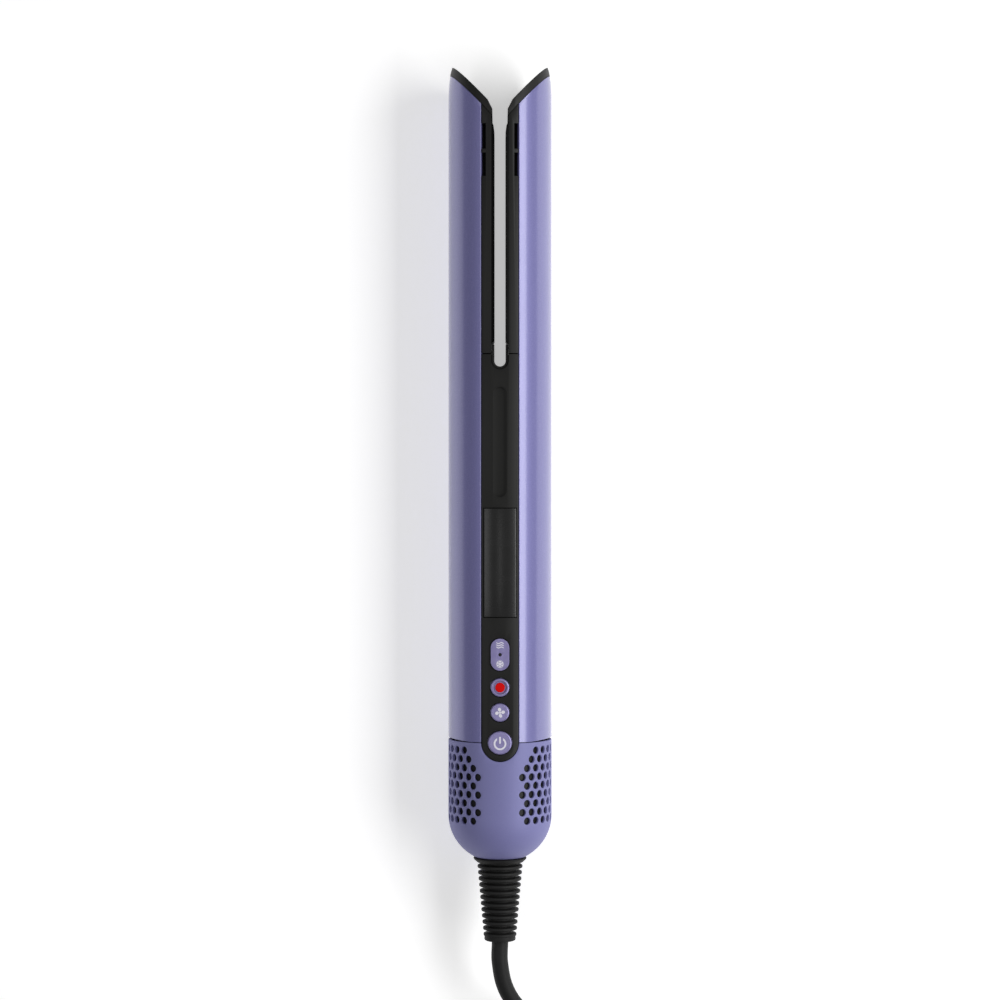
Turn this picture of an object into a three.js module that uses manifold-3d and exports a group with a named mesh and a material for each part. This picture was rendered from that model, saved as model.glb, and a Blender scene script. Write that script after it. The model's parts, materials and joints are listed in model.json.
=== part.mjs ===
// An airflow hair straightener: two half-cylinder arms hinged on a motor base, with its cord.
//
// Every piece is drawn in the tool's own frame and the whole group is then laid on its flat back:
//   x  across the tool, to the right when the buttons face up
//   s  along the tool, from 0 at the base's end to TIP_S at the tips of the arms (three's y)
//   h  height above the long axis, towards the buttons (three's z)
// Lengths are millimetres.

import * as THREE from 'three';
import { mergeVertices } from 'three/addons/utils/BufferGeometryUtils.js';
import Module from 'manifold-3d';

const wasm = await Module();
wasm.setup();

// ---------------------------------------------------------------- driving dimensions

const GAP = 0.3; // between pieces that meet
const SEGMENTS = 60; // facets round the arms
const CAGE_SEGMENTS = 30; // and round the base

const RADIUS = 20.6; // of the cylindrical body
const STRIP = 7.2; // half width of the front strip and of the flat back
const FLAT_H = -Math.sqrt(RADIUS ** 2 - STRIP ** 2); // the flat that it lies on
const TIP_S = 315.4; // tips of the arms
const TIP_RADIUS = 19.2;
const EASE_S = 297; // where the arms start to narrow
const CUT_SLOPE = 1.08; // of the slanted ends, rise in s per x
const CAP_RISE = 4.4; // height of an end cap along s
const WALL = 2;

const SHELL_X = STRIP + GAP; // the arm shells' edge
const ARM_START_S = 48.4;
const FORK_S = 200; // top of the spine, where the slot starts
const SLOT_FLOOR_S = 195.2; // lowest point of the slot's round end
const FRAME_X = 3.4; // faces of the arm frames
const BAR_X = 2.2; // faces of the air bars
const BAR_H = 11.7; // half height of an air bar
const BAR_START_S = 204.3;
const BAR_END_S = 292.7;

const HINGE_X = 12.5;
const HINGE_S = 50.5;
const PIN_RADIUS = 1.5;
const PIN_HALF = 9.2;

const FASCIA_H = 17.4; // underside of the front strip
const PROUD_H = 20.9; // tops of the buttons
const TONGUE_S = 47.6; // centre of the strip's round end and of the power button
const GROOVE = { low: 144, high: 187.2, half: 2.7, floor: 19.3 };
const DISPLAY = { low: 96.9, high: 139.5, half: 6.4 };
const ROCKER = { low: 75.9, high: 88.5, radius: 3.625 };
const ROCKER_S = (ROCKER.low + ROCKER.high) / 2;
const HEAT_S = 69.3;
const FAN_S = 59.5;
const ROUND_RADIUS = 3.625;
const POWER_RADIUS = 4.6;

const CHASSIS_X = 6.9;
const CAVITY_X = 5.2; // half width of the pockets that hold the boards
const BOARD_H = 9.6; // top of the control board
const COVER_H = -16.2; // inner face of the rear cover
const LOCK_S = 60;
const REAR_SCREWS_S = [92, 178];

const BASE_TOP_S = 47.4;
const DOME_S = 17; // where the base starts to round off
const DOME_RISE = 19.1;
const DOME_END_S = 0.4;
const CAGE_WALL = 1.8;
const HOLE = { rows: 9, first: 44.2, pitch: 3.46, radius: 1.45, step: 12 };
const DECK = { low: 43.5, high: 46.9, radius: 18.2 };
const MOTOR = { low: 16, high: 42, radius: 14.2, bore: 12.9 };
const SHAFT_RADIUS = 1.2;

const RELIEF_END_S = -33.2;
const CORD_RADIUS = 3.3;

// ---------------------------------------------------------------- looks

const material = (color, roughness, metalness = 0) =>
  new THREE.MeshStandardMaterial({ color, roughness, metalness });

const lavender = material('#8584b8', 0.35, 0.5);
const lavenderButton = material('#8a80b8', 0.5);
const blackPlastic = material('#242424', 0.5);
const blackRubber = material('#202020', 0.75);
const smokedGlass = material('#1a1a1c', 0.08);
const redInsert = material('#e60000', 0.4);
const whiteLight = material('#f2f2f2', 0.3);
const steel = material('#a8abb0', 0.3, 0.9);
const nickel = material('#c9c8c4', 0.2, 0.95);
const aluminium = material('#b9bcc0', 0.4, 0.9);
const boardGreen = material('#1f5a3a', 0.6);
const darkSteel = material('#55585c', 0.4, 0.8);
const foam = material('#3a3a3c', 0.95);
const greyPlastic = material('#6f7276', 0.6);

const tool = new THREE.Group();

function place(name, geometry, look) {
  const piece = new THREE.Mesh(geometry, look);
  piece.name = name;
  tool.add(piece);
}

// ---------------------------------------------------------------- shape tools

// A box between two values on each axis.
function box(x0, x1, s0, s1, h0, h1) {
  const geometry = new THREE.BoxGeometry(x1 - x0, s1 - s0, h1 - h0);
  return geometry.translate((x0 + x1) / 2, (s0 + s1) / 2, (h0 + h1) / 2);
}

// A disc or rod along h.
function rodH(radius, x, s, h0, h1, sides = 16) {
  const geometry = new THREE.CylinderGeometry(radius, radius, h1 - h0, sides);
  return geometry.rotateX(Math.PI / 2).translate(x, s, (h0 + h1) / 2);
}

// A disc or rod along s.
function rodS(radius, x, h, s0, s1, sides = 16) {
  const geometry = new THREE.CylinderGeometry(radius, radius, s1 - s0, sides);
  return geometry.translate(x, (s0 + s1) / 2, h);
}

// A turned piece about the long axis, from [radius, s] pairs.
function turned(profile, sides = 32) {
  const points = profile.map(([radius, s]) => new THREE.Vector2(radius, s));
  return new THREE.LatheGeometry(points, sides);
}

// A closed ring about the long axis.
function ringS(inner, outer, s0, s1, sides = 32) {
  return turned([[inner, s0], [outer, s0], [outer, s1], [inner, s1], [inner, s0]], sides);
}

function outline(points) {
  return new THREE.Shape(points.map(([u, v]) => new THREE.Vector2(u, v)));
}

// An outline in x and s, raised along h.
function plate(shape, h0, h1, curveSegments = 12) {
  const options = { depth: h1 - h0, bevelEnabled: false, curveSegments };
  return new THREE.ExtrudeGeometry(shape, options).translate(0, 0, h0);
}

// An outline in x and h, run along s.
function rail(shape, s0, s1) {
  const options = { depth: s1 - s0, bevelEnabled: false };
  return new THREE.ExtrudeGeometry(shape, options).rotateX(Math.PI / 2).translate(0, s1, 0);
}

// A slot outline with round ends, between two values of s.
function stadium(half, low, high) {
  const shape = new THREE.Shape();
  shape.moveTo(half, low + half);
  shape.lineTo(half, high - half);
  shape.absarc(0, high - half, half, 0, Math.PI, false);
  shape.lineTo(-half, low + half);
  shape.absarc(0, low + half, half, Math.PI, 2 * Math.PI, false);
  return shape;
}

function solid(geometry) {
  const bare = geometry.clone();
  bare.deleteAttribute('normal');
  bare.deleteAttribute('uv');
  const merged = mergeVertices(bare, 1e-4);
  const vertProperties = new Float32Array(merged.attributes.position.array);
  const triVerts = new Uint32Array(merged.index.array);
  return new wasm.Manifold(new wasm.Mesh({ numProp: 3, vertProperties, triVerts }));
}

function geometryOf(manifold) {
  const mesh = manifold.getMesh();
  const geometry = new THREE.BufferGeometry();
  geometry.setAttribute('position', new THREE.BufferAttribute(mesh.vertProperties, 3));
  geometry.setIndex(new THREE.BufferAttribute(mesh.triVerts, 1));
  geometry.computeVertexNormals();
  return geometry;
}

const joined = (first, ...others) => others.reduce((sum, one) => sum.add(solid(one)), solid(first));
const cut = (from, ...tools) => tools.reduce((rest, one) => rest.subtract(solid(one)), from);

// ---------------------------------------------------------------- the body's outer surface

function radiusAt(s) {
  const along = Math.max(0, (s - EASE_S) / (TIP_S - EASE_S));
  return RADIUS - (RADIUS - TIP_RADIUS) * along ** 4;
}

// The cylinder with its narrowing tip, cut by the flat back. inset shrinks it evenly.
function bodySolid(inset = 0) {
  const profile = [[0, 20], [RADIUS - inset, 20]];
  for (const s of [EASE_S, 302, 306, 309, 311.5, 313.5, TIP_S, TIP_S + 1]) {
    profile.push([radiusAt(s) - inset, s]);
  }
  profile.push([0, TIP_S + 1]);
  const round = solid(turned(profile, SEGMENTS));
  return round.intersect(solid(box(-30, 30, 0, 330, FLAT_H + inset, 30)));
}

const body = bodySolid();

// The slanted line where the shells end, at distance x from the middle.
const shellEndS = (x) => TIP_S - CAP_RISE - CUT_SLOPE * (TIP_RADIUS - x);

// Everything on one side of the tool, below the slanted line.
function belowCut(side, fromX, fromS) {
  const far = 24;
  const shape = outline([
    [side * fromX, fromS],
    [side * far, fromS],
    [side * far, shellEndS(far)],
    [side * fromX, shellEndS(fromX)],
  ]);
  return plate(shape, -25, 25);
}

// ---------------------------------------------------------------- arms

// The coloured half-cylinder outside of an arm.
function armShell(side) {
  const outer = body.intersect(solid(belowCut(side, SHELL_X, ARM_START_S)));
  return geometryOf(cut(outer, turned([
    [0, ARM_START_S - 1],
    [RADIUS - WALL, ARM_START_S - 1],
    [RADIUS - WALL, EASE_S],
    [TIP_RADIUS - WALL, TIP_S],
    [0, TIP_S],
  ], SEGMENTS)));
}

// The black inner frame: a wall beside the spine, the channel that holds the air bar above the
// fork, and the knuckle that turns on the hinge pin.
function armFrame(side) {
  const spanX = (a, b) => (side > 0 ? [a, b] : [-b, -a]);
  const bars = (a, b, ...rest) => box(...spanX(a, b), ...rest);
  const start = FORK_S + 0.4;
  const channel = body
    .intersect(solid(belowCut(side, FRAME_X, start)))
    .intersect(solid(bars(FRAME_X, STRIP, start, TIP_S, -25, 25)));
  const hollowed = cut(
    channel,
    bars(FRAME_X + WALL, STRIP + 1, start + 3, TIP_S, FLAT_H + WALL, FASCIA_H),
    bars(FRAME_X - 1, 6, BAR_START_S - GAP, BAR_END_S + GAP, -BAR_H - GAP, BAR_H + GAP),
    bars(STRIP - 1.6, STRIP + 1, 280.6, 290.6, FASCIA_H - 1, 25),
    bars(STRIP - 1.6, STRIP + 1, 269.9, 279.1, FASCIA_H - 1, 25),
  );
  const lower = joined(
    bars(SHELL_X, SHELL_X + WALL, ARM_START_S, start + 3, -15.6, 15.6),
    bars(FRAME_X, SHELL_X + WALL, start, start + 3, -15.6, 15.6),
    bars(SHELL_X, HINGE_X, ARM_START_S, HINGE_S + 3, -3, 3),
    rodH(3, side * HINGE_X, HINGE_S, -3, 3),
  );
  return geometryOf(cut(
    hollowed.add(lower),
    rodH(PIN_RADIUS + 0.2, side * HINGE_X, HINGE_S, -4, 4),
  ));
}

// The slanted black cap over an arm's open end, rounded towards the slot.
function endCap(side) {
  const inner = 3;
  const shoulder = 4.3;
  const far = 24;
  const shape = outline([
    [side * inner, shellEndS(inner) + GAP],
    [side * far, shellEndS(far) + GAP],
    [side * far, shellEndS(far) + CAP_RISE],
    [side * shoulder, shellEndS(shoulder) + CAP_RISE],
    [side * (inner + 0.4), shellEndS(inner) + 4],
    [side * inner, shellEndS(inner) + 3],
  ]);
  return geometryOf(body.intersect(solid(plate(shape, -25, 25))));
}

// The bar that presses on the hair, with the long slit that the air leaves by.
function airBar(side) {
  const nose = outline([
    [side * 5.9, BAR_START_S],
    [side * FRAME_X, BAR_START_S],
    [side * BAR_X, BAR_START_S + 2],
    [side * BAR_X, BAR_END_S - 4.5],
    [side * (BAR_X + 0.4), BAR_END_S - 1.6],
    [side * FRAME_X, BAR_END_S],
    [side * 5.9, BAR_END_S],
  ]);
  const flange = outline([
    [side * 5.7, BAR_START_S - 0.4],
    [side * 7.4, BAR_START_S - 0.4],
    [side * 7.4, BAR_END_S + 1],
    [side * 5.7, BAR_END_S + 1],
  ]);
  const bar = joined(plate(nose, -BAR_H, BAR_H), plate(flange, -13, 13));
  return geometryOf(cut(bar, box(-9, 9, 212, 284, -0.75, 0.75)));
}

// A finned block that the air passes through on its way to the slit.
function heaterCore(side) {
  const fins = 9;
  const pitch = 2.2;
  const points = [[side * 9.8, -fins * pitch / 2], [side * 9.8, fins * pitch / 2]];
  for (let fin = fins - 1; fin >= 0; fin -= 1) {
    const low = (fin - fins / 2) * pitch;
    points.push([side * 14.6, low + pitch], [side * 14.6, low + pitch - 1]);
    points.push([side * 11, low + pitch - 1], [side * 11, low]);
  }
  points.pop();
  points[points.length - 1] = [side * 11, -fins * pitch / 2];
  return rail(outline(points), 212, 284);
}

// A square duct that brings the air up the arm.
function airDuct(side) {
  const mid = side * 12.6;
  const half = 2.6;
  const tube = outline([[mid - half, -7], [mid + half, -7], [mid + half, 7], [mid - half, 7]]);
  tube.holes.push(new THREE.Path([
    new THREE.Vector2(mid - half + 0.8, -6.2),
    new THREE.Vector2(mid - half + 0.8, 6.2),
    new THREE.Vector2(mid + half - 0.8, 6.2),
    new THREE.Vector2(mid + half - 0.8, -6.2),
  ]));
  return rail(tube, 60, 209);
}

// A short torsion spring round the hinge pin.
function hingeSpring(side) {
  const turns = 2.4;
  const pitch = 0.85;
  const radius = 2.4;
  class Coil extends THREE.Curve {
    getPoint(t, target = new THREE.Vector3()) {
      const angle = 2 * Math.PI * turns * t;
      const x = side * HINGE_X + radius * Math.cos(angle);
      return target.set(x, HINGE_S + radius * Math.sin(angle), 3.5 + pitch * turns * t);
    }
  }
  const wire = new THREE.Shape().absarc(0, 0, 0.33, 0, 2 * Math.PI, false);
  return new THREE.ExtrudeGeometry(wire, {
    steps: 32,
    curveSegments: 3,
    bevelEnabled: false,
    extrudePath: new Coil(),
  });
}

for (const [word, side] of [['left', -1], ['right', 1]]) {
  place(`arm_shell_${word}`, armShell(side), lavender);
  place(`arm_frame_${word}`, armFrame(side), blackPlastic);
  place(`end_cap_${word}`, endCap(side), blackPlastic);
  place(`air_bar_${word}`, airBar(side), blackPlastic);
  place(`heater_core_${word}`, heaterCore(side), aluminium);
  place(`air_duct_${word}`, airDuct(side), greyPlastic);
  place(`thermal_sensor_${word}`, rodS(1.4, side * 11.5, 0, 286, 292, 12), steel);
  place(`hinge_spring_${word}`, hingeSpring(side), steel);
  place(
    `hinge_pin_${word}`,
    rodH(PIN_RADIUS, side * HINGE_X, HINGE_S, -PIN_HALF, PIN_HALF),
    steel,
  );
}

// ---------------------------------------------------------------- spine

// The spine's plan: round at the base, with the slot's round end let into its top.
function spinePlan(half, low, slotHalf) {
  const shape = new THREE.Shape();
  shape.moveTo(half, low);
  shape.lineTo(half, FORK_S);
  shape.lineTo(slotHalf, FORK_S);
  shape.lineTo(slotHalf, SLOT_FLOOR_S + slotHalf);
  shape.absarc(0, SLOT_FLOOR_S + slotHalf, slotHalf, 0, Math.PI, true);
  shape.lineTo(-slotHalf, FORK_S);
  shape.lineTo(-half, FORK_S);
  shape.lineTo(-half, low);
  return shape;
}

function frontFascia() {
  const plan = spinePlan(STRIP, TONGUE_S, FRAME_X);
  plan.absarc(0, TONGUE_S, STRIP, Math.PI, 2 * Math.PI, false);
  const blank = body.intersect(solid(plate(plan, FASCIA_H, 25)));
  const rocker = stadium(ROCKER.radius + GAP, ROCKER.low - GAP, ROCKER.high + GAP);
  const pocket = DISPLAY.half + 0.2;
  return geometryOf(cut(
    blank,
    plate(stadium(GROOVE.half, GROOVE.low, GROOVE.high), GROOVE.floor, 25),
    box(-pocket, pocket, DISPLAY.low - GAP, DISPLAY.high + GAP, 18.3, 25),
    box(-4.5, 4.5, DISPLAY.low + 2, DISPLAY.high - 2, 16, 19),
    plate(rocker, 16, 25, 6),
    rodH(ROUND_RADIUS + GAP, 0, HEAT_S, 16, 25, 20),
    rodH(ROUND_RADIUS + GAP, 0, FAN_S, 16, 25, 20),
    rodH(POWER_RADIUS + GAP, 0, TONGUE_S, 16, 25, 24),
  ));
}

function displayGlass() {
  const { low, high, half } = DISPLAY;
  return geometryOf(bodySolid(0.15).intersect(solid(box(-half, half, low, high, 18.6, 25))));
}

function rearCover() {
  const blank = body.intersect(solid(plate(spinePlan(STRIP, BASE_TOP_S + GAP, FRAME_X), -25, COVER_H)));
  return geometryOf(cut(
    blank,
    box(-4.6, 4.6, LOCK_S - 2, LOCK_S + 12, -25, -18),
    box(-1.3, 1.3, LOCK_S, LOCK_S + 9, -25, 0),
    ...REAR_SCREWS_S.flatMap((s) => [
      rodH(2.5, 0, s, -25, -17.5, 20),
      rodH(1.3, 0, s, -25, 0, 12),
    ]),
  ));
}

// The structural core: an upright slab with a pocket on each face, a deck across the base and
// the lugs that carry the hinge pins.
function spineChassis() {
  const slab = plate(spinePlan(CHASSIS_X, DECK.low, FRAME_X), COVER_H + GAP, FASCIA_H - GAP);
  const lugs = [];
  for (const side of [-1, 1]) {
    for (const h of [-9, 6]) {
      const mid = side * HINGE_X;
      lugs.push(box(mid - 2.3, mid + 2.3, DECK.high - 1, HINGE_S, h, h + 3));
      lugs.push(rodH(2.3, mid, HINGE_S, h, h + 3));
    }
  }
  const whole = joined(slab, turned([
    [0, DECK.low],
    [DECK.radius, DECK.low],
    [DECK.radius, DECK.high],
    [0, DECK.high],
  ]), ...lugs);
  const holes = [
    box(-CAVITY_X, CAVITY_X, DECK.low + 1.2, 190, -6, 25),
    box(-CAVITY_X, CAVITY_X, 56, 190, -25, -9),
    box(-9, 9, DECK.low - 5, DECK.high + 5, FASCIA_H - GAP, 25),
    box(-30, 30, DECK.low - 5, DECK.high + 5, -30, FLAT_H + WALL + GAP),
    rodH(POWER_RADIUS + 1.3, 0, TONGUE_S, 15.5, 25, 24),
  ];
  for (const side of [-1, 1]) {
    holes.push(rodH(PIN_RADIUS + 0.05, side * HINGE_X, HINGE_S, -12, 12));
    for (const h of [-12.6, 12.6]) {
      holes.push(rodS(2.4, side * 10.8, h, DECK.low - 1, DECK.high + 1));
    }
  }
  const cleared = cut(whole, ...holes);
  const pillars = REAR_SCREWS_S.map((s) => rodH(2.4, 0, s, COVER_H + GAP, -8, 16));
  const bored = REAR_SCREWS_S.map((s) => rodH(1.15, 0, s, -25, -9.5, 12));
  return geometryOf(cut(pillars.reduce((sum, one) => sum.add(solid(one)), cleared), ...bored));
}

// The lock's thumb piece, its neck through the cover and the latch plate inside.
function lockSlider() {
  return geometryOf(joined(
    box(-4.2, 4.2, LOCK_S - 1.4, LOCK_S + 6, -18.9, -18.3),
    box(-4.2, 4.2, LOCK_S + 1.8, LOCK_S + 2.8, -19.2, -18.5),
    box(-1, 1, LOCK_S + 1, LOCK_S + 3.6, -18.5, -15.2),
    box(-3.4, 3.4, LOCK_S, LOCK_S + 5, -15.9, -14.8),
  ));
}

function screw(s) {
  return geometryOf(joined(
    rodH(2.2, 0, s, -18.9, -17.7, 20),
    rodH(1, 0, s, -18, -11, 12),
  ));
}

// A push switch with its plunger.
function tactSwitch(s) {
  return geometryOf(joined(
    box(-2.2, 2.2, s - 2.2, s + 2.2, BOARD_H + GAP, 13),
    rodH(0.9, 0, s, 12.5, 13.7, 10),
  ));
}

place('front_fascia', frontFascia(), blackPlastic);
place('display_glass', displayGlass(), smokedGlass);
place('rear_cover', rearCover(), blackPlastic);
place('spine_chassis', spineChassis(), greyPlastic);
place('lock_slider', lockSlider(), lavenderButton);
place('rear_screw_lower', screw(REAR_SCREWS_S[0]), steel);
place('rear_screw_upper', screw(REAR_SCREWS_S[1]), steel);
place('control_board', box(-4.9, 4.9, DECK.low + 1.6, 189, BOARD_H - 1.6, BOARD_H), boardGreen);
place('power_board', box(-4.9, 4.9, 97, 173, -14.4, -12.8), boardGreen);
place('filter_capacitor', rodS(1.6, 0, -10.9, 120, 140, 12), darkSteel);
place(
  'display_module',
  box(-4.9, 4.9, DISPLAY.low + 2.4, DISPLAY.high - 2.4, BOARD_H + GAP, FASCIA_H - GAP),
  darkSteel,
);
place('switch_mode_upper', tactSwitch(ROCKER_S + 3.4), darkSteel);
place('switch_mode_lower', tactSwitch(ROCKER_S - 3.4), darkSteel);
place('switch_heat', tactSwitch(HEAT_S), darkSteel);
place('switch_fan', tactSwitch(FAN_S), darkSteel);
place('switch_power', tactSwitch(TONGUE_S), darkSteel);

// ---------------------------------------------------------------- buttons

// A round button: its head in the strip, a flange under the strip and a stem over the switch.
function roundButton(radius, s, dish) {
  const whole = joined(
    rodH(radius, 0, s, 16.3, PROUD_H, 24),
    rodH(radius + 0.8, 0, s, 16.3, FASCIA_H - GAP, 24),
    rodH(1.2, 0, s, 14.4, 16.5, 12),
  );
  return geometryOf(dish ? cut(whole, rodH(radius - 1.2, 0, s, PROUD_H - 0.9, 25, 24)) : whole);
}

// The two-ended mode rocker, which tips about an axis across the strip.
function modeRocker() {
  const { low, high, radius } = ROCKER;
  const pill = plate(stadium(radius, low, high), 16.6, PROUD_H, 8);
  const feet = [-3.4, 3.4].map((ds) => rodH(1, 0, ROCKER_S + ds, 14.4, 17, 10));
  return geometryOf(cut(joined(pill, ...feet), rodH(1, 0, ROCKER_S, PROUD_H - 1, 25, 12)));
}

place('mode_rocker', modeRocker(), lavenderButton);
place('mode_light', rodH(0.7, 0, ROCKER_S, PROUD_H - 0.7, PROUD_H, 12), whiteLight);
place('heat_button', roundButton(ROUND_RADIUS, HEAT_S, true), lavenderButton);
place('heat_dot', rodH(1.9, 0, HEAT_S, PROUD_H - 0.6, PROUD_H - 0.2, 20), redInsert);
place('fan_button', roundButton(ROUND_RADIUS, FAN_S, false), lavenderButton);
place('power_button', roundButton(POWER_RADIUS, TONGUE_S, false), lavenderButton);

// ---------------------------------------------------------------- base

function domeRadius(s) {
  const down = Math.max(0, (DOME_S - s) / DOME_RISE);
  return RADIUS * Math.sqrt(1 - down ** 2);
}

// A round section of the base, from its end up to top, inset evenly.
function baseRound(inset, low, top) {
  const profile = [[0, low]];
  for (const along of [0, 0.12, 0.28, 0.48, 0.72, 1]) {
    const s = DOME_END_S + (DOME_S - DOME_END_S) * along;
    profile.push([domeRadius(s) - inset, along === 0 ? low : s]);
  }
  profile.push([RADIUS - inset, top], [0, top]);
  return solid(turned(profile, CAGE_SEGMENTS))
    .intersect(solid(box(-30, 30, -5, 60, FLAT_H + inset, 30)));
}

// Angles from the front, on one side, of the holes in one row: the rows are staggered, clear the
// tongue of the front strip, and leave a rib at the side and the flat back solid.
function rowAngles(row) {
  const even = row % 2 === 0;
  const first = { 1: 43.5, 2: 37.5 }[row] ?? (even ? 25.5 : 31.5);
  const side = { first, last: even ? 97.5 : 91.5 };
  const back = { first: even ? 117.5 : 111.5, last: even ? 153.5 : 147.5 };
  const angles = [];
  for (const band of [side, back]) {
    for (let angle = band.first; angle <= band.last; angle += HOLE.step) {
      angles.push(angle);
    }
  }
  return angles;
}

// The perforated intake cage with its domed end.
function baseCage() {
  const shell = baseRound(0, DOME_END_S, BASE_TOP_S)
    .subtract(baseRound(CAGE_WALL, DOME_END_S + CAGE_WALL, BASE_TOP_S + 1));
  const drills = [];
  for (let row = 1; row <= HOLE.rows; row += 1) {
    const s = HOLE.first - (row - 1) * HOLE.pitch;
    for (const angle of rowAngles(row)) {
      for (const side of [-1, 1]) {
        const turn = side * THREE.MathUtils.degToRad(angle);
        const drill = new THREE.CylinderGeometry(HOLE.radius, HOLE.radius, 6, 6);
        drill.rotateX(Math.PI / 2).translate(0, s, RADIUS - 1).rotateY(turn);
        drills.push(solid(drill));
      }
    }
  }
  const tongue = new THREE.Shape();
  tongue.moveTo(STRIP + GAP, TONGUE_S + 5);
  tongue.lineTo(-STRIP - GAP, TONGUE_S + 5);
  tongue.lineTo(-STRIP - GAP, TONGUE_S);
  tongue.absarc(0, TONGUE_S, STRIP + GAP, Math.PI, 2 * Math.PI, false);
  const drilled = drills.reduce((rest, one) => rest.subtract(one), shell);
  return geometryOf(cut(drilled, plate(tongue, 10, 25), rodS(5.4, 0, 0, -2, 4, 24)));
}

// The motor's tube with a spider at each bearing.
function motorHousing() {
  const { low, high, radius, bore } = MOTOR;
  const tube = joined(
    ringS(bore, radius, low, high),
    ringS(3.7, 5.2, 18, 20.5, 24),
    ringS(3.7, 5.2, 31.6, 33.6, 24),
  );
  const arms = [];
  for (const s of [18, 31.6]) {
    for (const turn of [0, 120, 240]) {
      const spoke = box(-1, 1, s, s + 2, 4.8, bore + 0.4);
      arms.push(spoke.rotateY(THREE.MathUtils.degToRad(turn)));
    }
  }
  return geometryOf(arms.reduce((sum, one) => sum.add(solid(one)), tube));
}

// A hub with pitched blades.
function impeller() {
  const blades = [];
  for (let blade = 0; blade < 9; blade += 1) {
    const vane = new THREE.BoxGeometry(0.8, 6.2, 8.6);
    vane.rotateZ(0.6).translate(0, 37.2, 8).rotateY((2 * Math.PI * blade) / 9);
    blades.push(vane);
  }
  const hub = turned([[0, 34], [4.4, 34], [4.4, 39], [3.2, 40.6], [0, 40.6]], 24);
  return geometryOf(cut(joined(hub, ...blades), rodS(SHAFT_RADIUS + 0.1, 0, 0, 30, 39.4, 12)));
}

place('base_cage', baseCage(), lavender);
place('filter_sleeve', ringS(15.6, 16.8, 17.5, 42, 24), foam);
place('motor_housing', motorHousing(), greyPlastic);
place('motor_stator', ringS(7.2, 12.6, 21.2, 30.8, 24), darkSteel);
place('motor_rotor', ringS(SHAFT_RADIUS + 0.1, 6.6, 21.6, 30.4, 20), darkSteel);
place('motor_shaft', rodS(SHAFT_RADIUS, 0, 0, 17, 39, 12), steel);
place('bearing_lower', ringS(SHAFT_RADIUS + 0.1, 3.5, 18.2, 20.3, 20), steel);
place('bearing_upper', ringS(SHAFT_RADIUS + 0.1, 3.5, 31.8, 33.4, 20), steel);
place('impeller', impeller(), blackPlastic);
place('deck_gasket', ringS(12.9, 15, 42.3, 43.2, 24), blackRubber);

// ---------------------------------------------------------------- strain relief

// A flared rim, a tapering ribbed sleeve and a thick collar at its end.
function strainRelief() {
  const ribs = 12;
  const first = -1.8;
  const pitch = 2.47;
  const profile = [
    [0, 5.4], [7, 5.4], [7, 3.4], [5.1, 3.4], [5.1, DOME_END_S - GAP],
    [10.6, DOME_END_S - GAP], [10.2, -0.8], [9.3, first],
  ];
  for (let rib = 0; rib < ribs; rib += 1) {
    const top = first - rib * pitch;
    const outer = 9 - 0.22 * rib;
    const core = 6.6 - 0.18 * rib;
    profile.push([core, top - 0.1], [core, top - 0.9], [outer, top - 1.2], [outer, top - pitch + 0.1]);
  }
  profile.push([6.3, RELIEF_END_S], [0, RELIEF_END_S]);
  return turned(profile.reverse(), 12);
}

place('strain_relief', strainRelief(), blackRubber);

// ---------------------------------------------------------------- cord

// The tied hank lies on the surface in line with the tool: two columns and three layers of cord.
const HANK = { near: -121.7, far: -205.7, radius: 29.7, low: 1.1, high: 20.9 };
const TIE = { low: -166, high: -152, wall: 0.8 };
const PLUG = { h: 28.1, start: -165.3, body: -179.9, front: -213, end: -232, half: 17.6, thick: 13.6 };
const PIN = { radius: 2, apart: 18.6 };

// Both routes are x, s and height above the surface.
const LEAD = [
  [0, -33.5, 19.3], [0, -42.5, 19.3], [3.3, -55, 17.4], [13.2, -67.4, 11.9],
  [23.1, -79.9, 6.3], [26.4, -92.3, 4.4], [26.4, -107, 4.4], [26.4, -121.7, 4.4],
];
const TAIL = [
  [19.8, -121.7, 17.6], [17.3, -132.5, 18.9], [9.9, -143.3, 22.9], [2.5, -154.1, 26.8],
  [0.3, -160.5, 28], [0, -165, PLUG.h],
];

const down = FLAT_H; // the surface, measured from the long axis

function hankOutline(grow) {
  const shape = new THREE.Shape();
  shape.moveTo(HANK.radius + grow, HANK.far);
  shape.lineTo(HANK.radius + grow, HANK.near);
  shape.absarc(0, HANK.near, HANK.radius + grow, 0, Math.PI, false);
  shape.lineTo(-HANK.radius - grow, HANK.far);
  shape.absarc(0, HANK.far, HANK.radius + grow, Math.PI, 2 * Math.PI, false);
  return shape;
}

// A plain length of cord along a route, cut back where it enters the hank.
function cordTube(route, steps) {
  const path = new THREE.CatmullRomCurve3(
    route.map(([x, s, height]) => new THREE.Vector3(x, s, height + down)),
    false,
    'centripetal',
  );
  const round = new THREE.Shape().absarc(0, 0, CORD_RADIUS - 0.02, 0, 2 * Math.PI, false);
  const tube = new THREE.ExtrudeGeometry(round, {
    steps,
    curveSegments: 4,
    bevelEnabled: false,
    extrudePath: path,
  });
  const hank = plate(hankOutline(GAP), HANK.low - GAP + down, HANK.high + GAP + down, 16);
  return geometryOf(cut(solid(tube), hank));
}

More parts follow.
